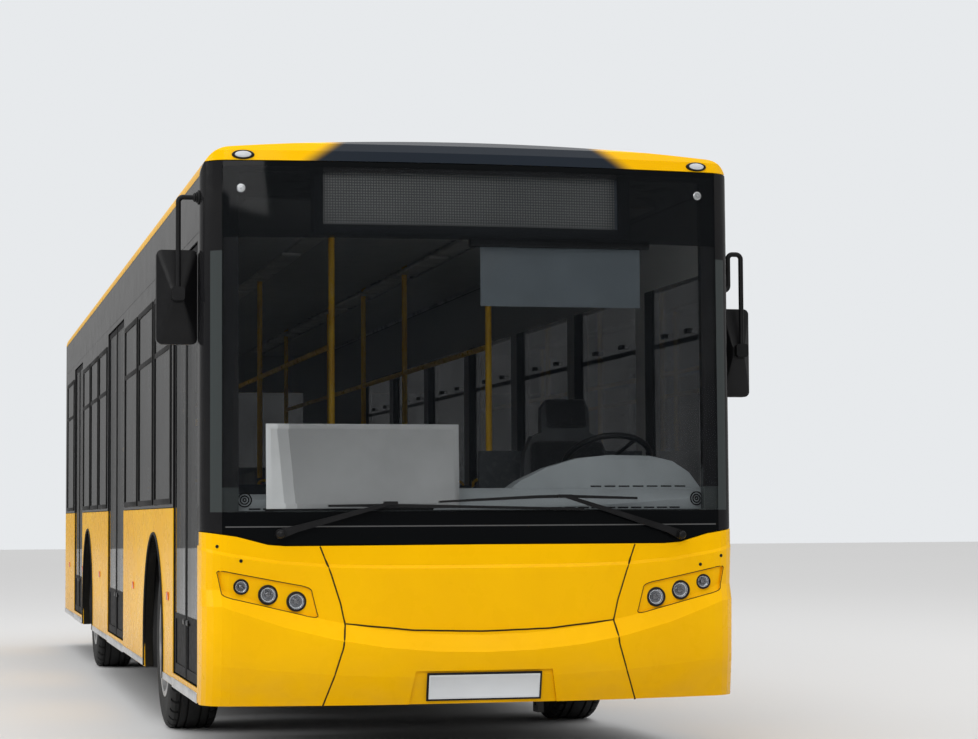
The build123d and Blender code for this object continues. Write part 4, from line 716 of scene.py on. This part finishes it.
# Sun blind: a smoked board on two hinged arms below its cassette, at the top of the driver's
# side of the windscreen.
blind = block("sun_blind", (0.03, -5.792, 2.14), (0.81, -5.786, 2.42), 0.003)
fit(blind, moulded("blind_board", (0.085, 0.105, 0.12, 1), 0.35, vary=1.2))
cassette = block("blind_cassette", (-0.02, -5.800, 2.42), (0.86, -5.750, 2.465), 0.010, 3)
arms = [block("arm", (x - 0.008, -5.786, 2.20), (x + 0.008, -5.778, 2.44), 0.002) for x in (0.16, 0.68)]
fit(gather("blind_gear", [cassette] + arms), black_plastic)

# Small round fittings: two clamps in the upper corners of the windscreen, and the black screws
# that hold the corner mouldings above the lamp pods.
CLAMPS = [(-1.100, 2.668), (1.093, 2.683)]
SCREWS = [(-1.103, 0.958), (-1.207, 1.024), (1.080, 0.922), (1.191, 0.962)]
studs = on_front("windscreen", CLAMPS, [(0.020, -0.001), (0.020, 0.003), (0.017, 0.005), (0.013, 0.005),
                                        (0.012, 0.003), (0.006, 0.003), (0.005, 0.007), (0.001, 0.008)], 28)
screws = on_front("front_corners", SCREWS, [(0.008, -0.002), (0.008, 0.002), (0.006, 0.0035), (0.003, 0.0035),
                                            (0.002, 0.002), (0.0005, 0.002)], 16)
fit(gather("screen_clamps", studs), metal("clamp_steel", (0.42, 0.43, 0.44, 1), 0.3))
fit(gather("corner_screws", screws), black_plastic)

# Mirror glass: silvered glass in the rear of each head, and the rubber gaiters where the arms
# leave the body.
mirror_glass = metal("mirror_glass", (0.62, 0.64, 0.66, 1), 0.05, 0.05, 0.02)
MIRROR_EDGE = 0.012
BEHIND_MIRRORS = -4.5
# Columns: side, x, height of the middle, width, height
HEADS = [("right", -1.372, 2.180, 0.190, 0.440), ("left", 1.386, 1.952, 0.136, 0.434)]
for name, x, z, width, tall in HEADS:
    place = meet("mirrors", (x, BEHIND_MIRRORS, z), (0, -1, 0))[0]
    across, upright = width / 2 - MIRROR_EDGE, tall / 2 - MIRROR_EDGE
    glass = block("mirror_glass_" + name, (-across, -upright, 0.0), (across, upright, 0.004), 0.003)
    fit(aim(glass, place, (0, 1, 0)), mirror_glass)
# Columns: side, y, height
ARM_FEET = [(-1, -5.655, 2.640), (1, -5.555, 2.254)]
GAITER = [(0.034, 0.0), (0.034, 0.006), (0.024, 0.010), (0.026, 0.014), (0.020, 0.018), (0.022, 0.023),
          (0.016, 0.028), (0.013, 0.030)]
SKIN_X = 1.275
gaiters = [aim(turned(GAITER, 28), (side * SKIN_X, y, z), (side, 0, 0)) for side, y, z in ARM_FEET]
fit(gather("mirror_gaiters", gaiters), rubber)

# Wiper caps: black plastic caps over the nuts of the two spindles, pressed on after the arms
# have been bolted down.
SPINDLES = [(-0.928, 1.079), (0.975, 1.063)]
nuts = on_front("wipers", SPINDLES, [(0.019, -0.004), (0.019, 0.006), (0.016, 0.011), (0.010, 0.014),
                                     (0.001, 0.015)], 24)
fit(gather("wiper_caps", nuts), black_plastic)


# Tyres: moulded rubber with four grooves round the tread, blocks along both shoulders and fine
# rings on the walls. They replace the plain rings of the frame.
def twin(piece, name, matrix):
    """Copy of a piece with its own mesh, put in place."""
    other = piece.copy()
    other.data = piece.data.copy()
    other.name = name
    bpy.context.collection.objects.link(other)
    return settle(other, matrix)


SIDE_RINGS = [(0.2905, 0.119), (0.300, 0.127), (0.318, 0.130), (0.326, 0.1335), (0.334, 0.1325),
              (0.372, 0.137), (0.400, 0.138), (0.412, 0.1365), (0.416, 0.1378), (0.434, 0.1345),
              (0.452, 0.129), (0.466, 0.1215)]
TREAD = [(0.4785, 0.106), (0.479, 0.086), (0.465, 0.084), (0.465, 0.076), (0.479, 0.074), (0.479, 0.042),
         (0.465, 0.040), (0.465, 0.032), (0.479, 0.030)]
TYRE_STEPS = 144
# The shoulders lie beyond this half width and radius; every fourth step of them is cut in
SHOULDER_X, SHOULDER_R, BLOCK_STEP = 0.088, 0.458, 4
CUT = (0.975, 0.975, 0.97)


def between_blocks(face):
    """Whether a face of the tyre lies between two blocks of a shoulder."""
    x, y, z = face.center
    turn = round(math.degrees(math.atan2(y, x)) * TYRE_STEPS / 360 - 0.5)
    return abs(z) > SHOULDER_X and math.hypot(x, y) > SHOULDER_R and turn % BLOCK_STEP == 0


half_profile = SIDE_RINGS + TREAD
profile = half_profile + [(r, -x) for r, x in reversed(half_profile)]
tyre = turned(profile + [profile[0]], TYRE_STEPS)
pick_out(tyre, "FACE", between_blocks)
bpy.ops.mesh.extrude_region_move(TRANSFORM_OT_translate={"value": (0, 0, 0)})
bpy.ops.transform.resize(value=CUT, center_override=(0, 0, 0))
bpy.ops.mesh.select_all(action="SELECT")
bpy.ops.mesh.normals_make_consistent(inside=False)
mode("OBJECT")
smooth(tyre, 28.0)
settle(tyre, Matrix.Rotation(math.pi / 2, 4, "Y"))
WHEELS = ("front_left", "front_right", "rear_left", "rear_right")
TWIN_GAP = 0.326
for wheel in WHEELS:
    _, y, z = halfway(*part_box("tyre_" + wheel))
    side = 1 if wheel.endswith("left") else -1
    centres = [side * WHEEL_X] if wheel.startswith("front") else [side * WHEEL_X, side * (WHEEL_X - TWIN_GAP)]
    for index, x in enumerate(centres):
        copy = twin(tyre, "tyre_%s_%d" % (wheel, index), Matrix.Translation((x, y, z)))
        fit(copy, tyre_rubber, "wheel_" + wheel)
        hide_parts("tyre_" + wheel)
bpy.data.objects.remove(tyre)

# Wheel nuts, hub caps and valves: plated nuts with washers on the bolt circle of each disc, a
# pressed cap over each hub and a valve stem that reaches out between the nuts.
steel = metal("nut_steel", (0.40, 0.40, 0.41, 1), 0.35, 0.5)
NUTS = 10
BOLT_CIRCLE = 0.1675
NUT = [(0.024, 0.0), (0.024, 0.004), (0.017, 0.005), (0.017, 0.022), (0.013, 0.026), (0.010, 0.026),
       (0.010, 0.034), (0.001, 0.036)]
STEM = [(0.006, 0.0), (0.006, 0.030), (0.0045, 0.032), (0.0045, 0.045), (0.001, 0.046)]
STEM_X, STEM_Y = 0.075, 0.232
# Columns: seat of the nuts and of the cap off the tyre's middle, radius of the cap
HUBS = {"front": (0.094, 0.125, 0.070), "rear": (-0.149, 0.040, 0.095)}
for wheel in WHEELS:
    _, y, z = halfway(*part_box("rim_" + wheel))
    side = 1 if wheel.endswith("left") else -1
    nut_seat, cap_seat, reach = HUBS[wheel.split("_")[0]]
    parts = []
    for step in range(NUTS):
        angle = 2 * math.pi * (step + 0.5) / NUTS
        spot = (side * (WHEEL_X + nut_seat),
                y + BOLT_CIRCLE * math.cos(angle), z + BOLT_CIRCLE * math.sin(angle))
        parts.append(aim(turned(NUT, 6), spot, (side, 0, 0)))
    cap = [(reach + 0.004, -0.004), (reach + 0.004, 0.004), (reach, 0.008),
           (reach * 0.8, 0.012), (reach * 0.72, 0.018), (reach * 0.3, 0.021), (0.001, 0.021)]
    parts.append(aim(turned(cap, 40), (side * (WHEEL_X + cap_seat), y, z), (side, 0, 0)))
    parts.append(aim(turned(STEM, 12), (side * (WHEEL_X + STEM_X), y + STEM_Y, z), (side, 0, 0)))
    fit(gather("wheel_nuts_" + wheel, parts), steel, "wheel_" + wheel)


# Seams of the front: dark brown cords laid in the gaps round the centre hatch and the bumper, and finer
# ones round the lamp pods. They are painted shade, standing in for the shadow that fills the gaps.
def surface_line(node, spots, back):
    """Points a little behind a node's outer face, at (x, z) spots seen from ahead."""
    return [meet(node, (x, FAR_AHEAD, z))[0] + Vector((0, back, 0)) for x, z in spots]


def between(start, end, steps):
    """Evenly spaced (x, z) spots from a start up to, but without, an end."""
    return [tuple(a + (b - a) * step / steps for a, b in zip(start, end)) for step in range(steps)]


def drawn(name, marks, handles, radius, fineness, angle, closed=False):
    """Round cord along a curve, turned into a mesh; a mark is a place and, unless automatic, its handles."""
    clear_selection()
    bpy.ops.curve.primitive_bezier_curve_add()
    line = bpy.context.object
    line.name = name
    spline = line.data.splines[0]
    spline.bezier_points.add(len(marks) - 2)
    for point, mark in zip(spline.bezier_points, marks):
        point.handle_left_type = handles
        point.handle_right_type = handles
        for part, place in zip(("co", "handle_left", "handle_right"), mark):
            setattr(point, part, place)
    spline.use_cyclic_u = closed
    line.data.dimensions = "3D"
    line.data.resolution_u, line.data.bevel_resolution = fineness
    line.data.bevel_depth = radius
    line.data.use_fill_caps = not closed
    bpy.ops.object.convert(target="MESH")
    return smooth(bpy.context.object, angle)


def threaded(name, points, radius, closed=False):
    """Thin cord that passes smoothly through points."""
    return drawn(name, [(point,) for point in points], "AUTO", radius, (3, 2), 60.0, closed)


# Corners as (x, z): the seam from the windscreen's foot down to the skirt, and the lamp pod
SEAM_LINE = [(0.746, 1.020), (0.700, 0.900), (0.655, 0.760), (0.635, 0.668), (0.650, 0.560), (0.690, 0.430),
             (0.733, 0.310)]
POD_LINE = [(1.210, 0.917), (0.790, 0.835), (0.754, 0.693), (1.185, 0.797)]
# The seams are measured this far beside or above the gap and then moved back over it
ASIDE, ABOVE, SEAM_DROP = 0.006, 0.006, 0.004
SEAM_BACK, SEAM_RADIUS = 0.0015, 0.0045
POD_BACK, POD_RADIUS = 0.0005, 0.0022
cords = []
for side in (-1, 1):
    spots = []
    for start, end in zip(SEAM_LINE, SEAM_LINE[1:]):
        spots += between(start, end, 4)
    spots.append(SEAM_LINE[-1])
    line = surface_line("front_corners", [(side * (x + ASIDE), z) for x, z in spots], SEAM_BACK)
    line.append(line[-1] + (line[-1] - line[-2]) * 0.4)
    cords.append(threaded("cord", [place - Vector((side * ASIDE, 0, 0)) for place in line], SEAM_RADIUS))
    spots = []
    for corner, after in zip(POD_LINE, POD_LINE[1:] + POD_LINE[:1]):
        spots += between(corner, after, 12)[1:]
    line = surface_line("front_corners", [(side * x, z) for x, z in spots], POD_BACK)
    cords.append(threaded("cord", line, POD_RADIUS, True))
# The gap under the hatch: its half width, its steps, and the heights between which it's looked for
HATCH_HALF, HATCH_STEPS, LOWEST, HIGHEST = 0.630, 12, 0.600, 0.72
spots = []
for step in range(-HATCH_STEPS, HATCH_STEPS + 1):
    x, z = HATCH_HALF * step / HATCH_STEPS, LOWEST
    while nodes["front_bumper"].ray_cast(Vector((x, FAR_AHEAD, z)), Vector((0, 1, 0)))[0] and z < HIGHEST:
        z += 0.001
    spots.append((x, z + ABOVE))
line = surface_line("front_hatch", spots, SEAM_BACK)
cords.append(threaded("cord", [place - Vector((0, 0, SEAM_DROP)) for place in line], SEAM_RADIUS))
# Dark brown of the painted shade in the seams
seam_shade_cord = moulded("seam_shade_cord", (0.020, 0.009, 0.003, 1), 0.6, shine=0.1)
fit(gather("front_seams", cords), seam_shade_cord)


# Door leaves: a black rubber guard down each meeting edge, a yellow rail across the inside and a
# small black pull outside. All are bolted to the leaf and go with it.
def tube(name, points, radius, bend=0.03):
    """Round tube through points, with rounded corners."""
    stops = [Vector(point) for point in points]
    marks = [[stops[0]] * 3]
    for before, corner, after in zip(stops, stops[1:], stops[2:]):
        back, on = (before - corner).normalized(), (after - corner).normalized()
        marks.append([corner + back * bend, corner + back * bend * 1.4, corner + back * bend * 0.45])
        marks.append([corner + on * bend, corner + on * bend * 0.45, corner + on * bend * 1.4])
    marks.append([stops[-1]] * 3)
    return drawn(name, marks, "FREE", radius, (5, 3), 50.0)


# The guard's edge lies this far beyond the pane; the others are measured back from that edge
GUARD_EDGE, GUARD_WIDE, PULL_BACK, PULL_HALF = 0.0358, 0.020, 0.075, 0.045
RAIL_TOP, RAIL_FOOT = 0.060, 0.350
LEAF_INSIDE, RAIL_X = -1.229, -1.175
for leaf in leaves:
    name = leaf.removesuffix("_leaf")
    low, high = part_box(name + "_glass")
    towards = 1 if name.endswith("fore") else -1
    body = "leaf_" + name.removeprefix("door_")
    edge = (high.y if towards > 0 else low.y) + towards * GUARD_EDGE
    inner, outer = sorted((edge - towards * GUARD_WIDE, edge))
    guard = block(name + "_guard", (-1.2690, inner, 0.380), (-1.2285, outer, 2.438), 0.004, 3)
    fit(guard, rubber, body)
    y0, y1 = edge - towards * RAIL_TOP, edge - towards * RAIL_FOOT
    rail = tube(name + "_rail", [(LEAF_INSIDE, y0, 1.62), (RAIL_X, y0, 1.62), (RAIL_X, y0, 1.02),
                                 (RAIL_X, y1, 0.86), (LEAF_INSIDE, y1, 0.86)], 0.0145, 0.035)
    fit(rail, pole_paint, body)
    y = edge - towards * PULL_BACK
    pull = block(name + "_pull", (-1.2725, y - PULL_HALF, 0.635), (-1.2640, y + PULL_HALF, 0.662), 0.004, 3)
    fit(pull, black_plastic, body)

# Sides: bright sill strips along the foot of the skirt, amber side markers and rubber lips round
# the wheel arches. Clips and tape hold them on the outside of the panels.
aluminium = metal("aluminium", (0.62, 0.63, 0.64, 1), 0.32, 0.35)
amber = moulded("amber_lens", (0.70, 0.13, 0.004, 1), 0.15, 500.0, vary=1.1)
ARCH_RADIUS, LIP_RADIUS, LIP_X, LIP_FOOT, LIP_STEPS = 0.590, 0.594, 1.276, 0.31, 24
DOOR_MARGIN, MARKER_PITCH, SHORTEST = 0.014, 2.4, 0.1
wall_low, wall_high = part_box("left_lower_wall")
DOOR_SPANS = [(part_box("door_%s_fore_leaf" % name)[0].y - DOOR_MARGIN,
               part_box("door_%s_aft_leaf" % name)[1].y + DOOR_MARGIN) for name in ("front", "middle", "rear")]
strips, markers, lips = [], [], []
for side in (-1, 1):
    gaps = [(y - ARCH_RADIUS, y + ARCH_RADIUS) for y in (front_y, rear_y)]
    if side < 0:
        gaps += DOOR_SPANS
    start = wall_low.y
    x0, x1 = sorted((side * SKIN_X, side * (SKIN_X + 0.005)))
    for gap_start, gap_end in sorted(gaps) + [(wall_high.y, wall_high.y)]:
        if gap_start - start > SHORTEST:
            strips.append(block("strip", (x0, start + 0.01, 0.308), (x1, gap_start - 0.01, 0.346), 0.002))
            count = max(1, round((gap_start - start) / MARKER_PITCH))
            for step in range(count):
                y = start + (gap_start - start) * (step + 0.5) / count
                markers.append(block("marker", (x0, y - 0.055, 0.730), (x1, y + 0.055, 0.772), 0.0022, 2))
        start = gap_end
    for y in (front_y, rear_y):
        angles = [math.pi * step / LIP_STEPS for step in range(LIP_STEPS + 1)]
        arc = [(y + LIP_RADIUS * math.cos(angle), HUB_Z + LIP_RADIUS * math.sin(angle)) for angle in angles]
        arc = [(y + LIP_RADIUS, LIP_FOOT)] + arc + [(y - LIP_RADIUS, LIP_FOOT)]
        lips.append(tube("lip", [(side * LIP_X, *spot) for spot in arc], 0.008, 0.012))
for y0, y1 in DOOR_SPANS:
    strips.append(block("strip", (-SKIN_X - 0.004, y0 + 0.002, 0.300), (-SKIN_X, y1 - 0.002, 0.349), 0.0015))
fit(gather("sill_strips", strips), aluminium)
fit(gather("side_markers", markers), amber)
fit(gather("arch_lips", lips), rubber)


# Side windows: a black rubber round each pane, a bar across it where its top light hinges and two
# small catches inside. Door sills: yellow nosings along the edge of the floor.
def islands(name):
    """Corners of the boxes round the separate solids of a CAD node."""
    mesh = bmesh.new()
    mesh.from_mesh(nodes[name].data)
    bmesh.ops.remove_doubles(mesh, verts=mesh.verts, dist=0.00001)
    left = set(mesh.verts)
    boxes = []
    while left:
        queue = [left.pop()]
        found = list(queue)
        while queue:
            for edge in queue.pop().link_edges:
                for vert in edge.verts:
                    if vert in left:
                        left.remove(vert)
                        queue.append(vert)
                        found.append(vert)
        columns = list(zip(*(vert.co for vert in found)))
        boxes.append([Vector([pick(column) for column in columns]) for pick in (min, max)])
    mesh.free()
    return sorted(boxes, key=lambda corners: (corners[0].x, corners[0].y))


bars, catches = [], []
RUBBER, LAP = 0.030, 0.027
# Panes thinner across than this are side panes, the other is the rear one
THIN = 0.1
panes = islands("saloon_glass")
side_panes = [pane for pane in panes if pane[1].x - pane[0].x <= THIN]
rear_panes = [pane for pane in panes if pane[1].x - pane[0].x > THIN]
for low, high in side_panes:
    side = 1 if low.x > 0 else -1
    x0, x1 = sorted((side * 1.2745, side * 1.2785))
    bars.append(block("bar", (x0, low.y, 2.035), (x1, high.y, 2.063), 0.0015))
    x0, x1 = sorted((side * 1.2740, side * 1.2810))
    for y in (low.y, high.y - RUBBER):
        bars.append(block("bar", (x0, y, low.z), (x1, y + RUBBER, high.z), 0.0025))
    for z in (low.z, high.z - RUBBER):
        bars.append(block("bar", (x0, low.y + LAP, z), (x1, high.y - LAP, z + RUBBER), 0.0025))
    x0, x1 = sorted((side * 1.2655, side * 1.240))
    for y in (low.y * 0.7 + high.y * 0.3, low.y * 0.3 + high.y * 0.7):
        catches.append(block("catch", (x0, y - 0.03, 2.075), (x1, y + 0.03, 2.100), 0.004))
fit(gather("window_rubbers", bars), rubber)
fit(gather("window_catches", catches), black_plastic)
nosings = [block("nosing", (-1.2245, y0, 0.3502), (-1.150, y1, 0.3515)) for y0, y1 in DOOR_SPANS]
fit(gather("door_nosings", nosings), pole_paint)


# Saloon seats: a woven pad on the cushion and one on the back of each shell, and a yellow handle
# on the aisle shoulder. The pads are foam under cloth, clipped into the shell.
def fabric(name, colour, fleck):
    """Woven seat cloth with a small coloured fleck."""
    material, tree, shader = finish(name)
    place = place_on(tree)
    weave = put(tree, "TexWave", {"Vector": place, "Scale": 260.0, "Distortion": 1.5, "Detail": 1.0})
    threads = weave.outputs["Fac"]
    cells = put(tree, "TexVoronoi", {"Vector": place, "Scale": 55.0}).outputs["Distance"]
    shade = blend(tree, less(tree, cells, 0.22), colour, fleck)
    shade = blend(tree, spread(tree, threads, 0.0, 1.0, 0.0, 0.35), shade, grey(0.01))
    join(tree, shader, Base_Color=shade, Roughness=0.9, Sheen_Weight=0.2, Specular_IOR_Level=0.2)
    relief(tree, shader, threads, 0.0008, 0.5)
    return material


def pad(name, size, puff=0.012):
    """Cushion: a block with round corners, its upper face extruded ring by ring to a soft crown."""
    width, depth, tall = size
    rim = tall * 0.45
    piece = block(name, (-width / 2, -depth / 2, 0), (width / 2, depth / 2, rim))

    def upright(edge):
        low, high = sorted(piece.data.vertices[index].co.z for index in edge.vertices)
        return high - low > rim / 2

    pick_out(piece, "EDGE", upright)
    bpy.ops.mesh.bevel(offset=min(width, depth) * 0.12, segments=3)
    mode("OBJECT")
    pick_out(piece, "FACE", lambda face: face.normal.z > 0.99)
    share, height = 1.0, rim
    rings = [(0.96, tall - rim), (0.84, puff * 0.5), (0.64, puff * 0.35), (0.36, puff * 0.15)]
    for next_share, rise in rings:
        height += rise
        bpy.ops.mesh.extrude_region_move(TRANSFORM_OT_translate={"value": (0, 0, rise)})
        scale = next_share / share
        bpy.ops.transform.resize(value=(scale, scale, 1), center_override=(0, 0, height))
        share = next_share
    mode("OBJECT")
    rounding = piece.modifiers.new("round", "SUBSURF")
    rounding.levels = 2
    rounding.render_levels = 2
    bpy.ops.object.modifier_apply(modifier="round")
    return smooth(piece, 60.0)


def leaning(place, degrees):
    """Where a pad goes that is tipped about X."""
    return Matrix.Translation(place) @ Matrix.Rotation(math.radians(degrees), 4, "X")


seat_cloth = fabric("seat_cloth", (0.020, 0.035, 0.085, 1), (0.30, 0.16, 0.02, 1))
# The shell's back leans 77 mm over a height of 528 mm
BACK_LEAN = 90 - math.degrees(math.atan2(0.077, 0.528))
CUSHION_LEAN = -2.2
# Middle of the seat, off the front and the top of its shell's box
SEAT_IN, SEAT_DOWN = 0.200, 0.560
GRIP_X, GRIP_HALF = 0.11, 0.05
cushion_pad = pad("cushion_pad", (0.350, 0.330, 0.028))
back_pad = pad("back_pad", (0.340, 0.430, 0.028))
handles = []
for index, (low, high) in enumerate(islands("seats")):
    x, y, z = (low.x + high.x) / 2, low.y + SEAT_IN, high.z - SEAT_DOWN
    cushion = twin(cushion_pad, "seat_cushion_%02d" % index, leaning((x, y - 0.030, z - 0.008), CUSHION_LEAN))
    back = twin(back_pad, "seat_back_%02d" % index, leaning((x, y + 0.222, z + 0.285), BACK_LEAN))
    for part in (cushion, back):
        fit(part, seat_cloth)
    grip_x = x - (GRIP_X if x > 0 else -GRIP_X)
    near, far = grip_x - GRIP_HALF, grip_x + GRIP_HALF
    handles.append(tube("grip", [(near, y + 0.286, z + 0.50), (near, y + 0.300, z + 0.585),
                                 (far, y + 0.300, z + 0.585), (far, y + 0.286, z + 0.50)], 0.009, 0.03))
bpy.data.objects.remove(cushion_pad)
bpy.data.objects.remove(back_pad)
fit(gather("seat_handles", handles), pole_paint)

# Driver's seat: padded cushion, back and headrest of foam in black cloth, clipped on the moulded
# shell.
driver_cloth = fabric("driver_cloth", (0.014, 0.014, 0.016, 1), (0.05, 0.05, 0.055, 1))
low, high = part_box("driver_seat")
x, y, z = (low.x + high.x) / 2, low.y + 0.235, 1.000
# Columns: name, size, place, lean
DRIVER_PADS = [("driver_cushion", (0.43, 0.40, 0.045), (x, y - 0.02, z - 0.012), -2.0),
               ("driver_back", (0.41, 0.52, 0.045), (x, y + 0.238, z + 0.290), 82.5),
               ("driver_headrest", (0.22, 0.15, 0.040), (x, y + 0.298, z + 0.690), 83.0)]
for name, size, place, lean in DRIVER_PADS:
    piece = settle(pad(name, size, 0.018), leaning(place, lean))
    fit(piece, driver_cloth)

# Dashboard: rows of black demister slots along its sloping face, a round vent at each end, and
# two dials in a black panel in front of the driver, all let into the moulding.
# Columns: height, first place across, last place across
SLOT_ROWS = [(1.193, -1.03, -0.90), (1.193, 0.25, 0.98), (1.295, 0.62, 1.04)]
SLOT_PITCH = 0.066
slots = []
for z, start, end in SLOT_ROWS:
    count = round((end - start) / SLOT_PITCH)
    for step in range(count + 1):
        place, normal = meet("dashboard", (start + (end - start) * step / count, FAR_AHEAD, z))
        slot = block("slot", (-0.027, -0.0035, -0.004), (0.027, 0.0035, 0.0015), 0.001)
        slots.append(aim(slot, place, normal))
for r in (0.034, 0.022, 0.010):
    vent = [(r, -0.002), (r, 0.003), (r - 0.006, 0.003), (r - 0.006, -0.002), (r, -0.002)]
    slots += on_front("dashboard", [(-1.075, 1.235), (1.095, 1.235)], vent, 28)
fit(gather("demister_slots", slots), rubber)
DIALS_PLACE = (0.76, -5.30, 1.36)
place, normal = meet("dashboard", DIALS_PLACE, (0, -1, 0))
panel = block("dial_panel", (-0.21, -0.075, -0.004), (0.21, 0.075, 0.004), 0.004, 3)
fit(aim(panel, place, normal), black_plastic)
DIAL = [(0.050, 0.000), (0.050, 0.007), (0.044, 0.009), (0.042, 0.005), (0.001, 0.005)]
dials = [aim(turned(DIAL, 36), place + Vector((dx, 0, 0)), normal) for dx in (-0.12, 0.12)]
fit(gather("dials", dials), chrome)

# Poles: grey collars where each pole meets floor and ceiling, and red stop buttons in grey cases
# on the poles beside the doors.
COLLAR = [(0.040, 0.0), (0.040, 0.006), (0.024, 0.012), (0.0185, 0.016), (0.0180, 0.030), (0.0175, 0.030)]
BUTTON = [(0.016, 0.0), (0.016, 0.006), (0.012, 0.009), (0.001, 0.010)]
SHORTEST_POLE = 1.0
collars, cases, buttons = [], [], []
for low, high in islands("grab_poles"):
    if high.z - low.z < SHORTEST_POLE:
        continue
    x, y, _ = halfway(low, high)
    for z, way in ((low.z, 1), (high.z, -1)):
        collars.append(aim(turned(COLLAR, 24), (x, y, z), (0, 0, way)))
    if x < 0:
        cases.append(block("case", (x - 0.024, y - 0.030, 1.30), (x + 0.024, y + 0.026, 1.41), 0.008, 3))
        buttons.append(aim(turned(BUTTON, 20), (x, y - 0.030, 1.36), (0, -1, 0)))
case_grey = moulded("case_grey", (0.16, 0.17, 0.18, 1), 0.4)
fit(gather("pole_collars", collars), case_grey)
fit(gather("stop_cases", cases), case_grey)
fit(gather("stop_buttons", buttons), moulded("stop_red", (0.55, 0.01, 0.01, 1), 0.25))

# Ceiling: white lining panels of coated board, with two rows of lamps under plastic diffusers
# between them. All are clipped to rails below the roof.
ceiling_white = moulded("ceiling_white", (0.34, 0.35, 0.34, 1), 0.6, vary=1.1)
y0, y1, z = -5.35, 5.80, 2.700
LIGHT_LONG, LIGHT_ROOM, LIGHT_PITCH = 1.05, 1.1, 1.2
panels = [block("panel", (-0.36, y0, z), (0.36, y1, z + 0.012), 0.003)]
lights = []
for side in (-1, 1):
    x0, x1 = sorted((side * 0.52, side * 1.02))
    panels.append(block("panel", (x0, y0, z - 0.025), (x1, y1, z - 0.013), 0.003))
    x0, x1 = sorted((side * 0.38, side * 0.50))
    y = y0 + 0.1
    while y + LIGHT_ROOM < y1:
        lights.append(block("light", (x0, y, z - 0.020), (x1, y + LIGHT_LONG, z + 0.005), 0.008, 3))
        y += LIGHT_PITCH
fit(gather("ceiling_panels", panels), ceiling_white)
fit(gather("ceiling_lamps", lights), moulded("diffuser", (0.42, 0.42, 0.40, 1), 0.5))

# Rear: red tail lamps with round rims and domed lenses, mesh behind the hatch's slots, and two
# catches and a handle on the engine hatch.
tail_lens = moulded("tail_lens", (0.35, 0.004, 0.004, 1), 0.12)
dress(tail_lens, "tail_lamps")
TAIL_RIM = [(0.046, 0.0), (0.047, 0.009), (0.051, 0.011), (0.056, 0.006), (0.057, 0.0), (0.046, 0.0)]
TAIL_DOME = [(0.047, 0.002), (0.040, 0.008), (0.030, 0.009), (0.028, 0.012), (0.015, 0.013), (0.001, 0.014)]
rims, domes = [], []
for low, high in islands("tail_lamps"):
    x, _, z = halfway(low, high)
    for parts, profile in ((rims, TAIL_RIM), (domes, TAIL_DOME)):
        parts.append(aim(turned(profile, 40), (x, high.y, z), (0, 1, 0)))
fit(gather("tail_rims", rims), chrome)
fit(gather("tail_domes", domes), tail_lens)
low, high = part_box("engine_hatch")
mesh_panel = block("hatch_mesh", (0.325, low.y - 0.006, 0.790), (0.735, low.y - 0.001, 1.200), 0.001)
fit(mesh_panel, rubber)
y = high.y
catches = [block("catch", (x - 0.035, y, 0.548), (x + 0.035, y + 0.006, 0.572), 0.003) for x in (-0.55, 0.55)]
catches.append(block("catch", (-0.09, y, 0.60), (0.09, y + 0.012, 0.632), 0.005, 3))
fit(gather("hatch_catches", catches), black_plastic)

# Rear foot: a black rubber strip along the bumper panel and two towing covers. Bolts behind the
# panel hold them.
trim = [block("rear_strip", (-1.10, rear_face, 0.520), (1.10, rear_face + 0.012, 0.556), 0.005, 3)]
for x in (-0.70, 0.70):
    trim.append(block("tow_cover", (x - 0.07, rear_face, 0.385), (x + 0.07, rear_face + 0.004, 0.455), 0.003))
fit(gather("rear_trim", trim), rubber)

# Rear window: a black rubber profile round the pane, pressed over its edge before the pane is
# set into the rear wall.
for low, high in rear_panes:
    y = high.y
    frame_bars = []
    for z in (low.z, high.z - RUBBER):
        frame_bars.append(block("bar", (low.x, y - 0.002, z), (high.x, y + 0.005, z + RUBBER), 0.0025))
    for x in (low.x, high.x - RUBBER):
        frame_bars.append(block("bar", (x, y - 0.002, low.z + LAP),
                                (x + RUBBER, y + 0.005, high.z - LAP), 0.0025))
    fit(gather("rear_window_rubber", frame_bars), rubber)

boxes = {"cad": cad_box, "visual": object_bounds()}
{name: [list(corner) for corner in corners] for name, corners in boxes.items()}
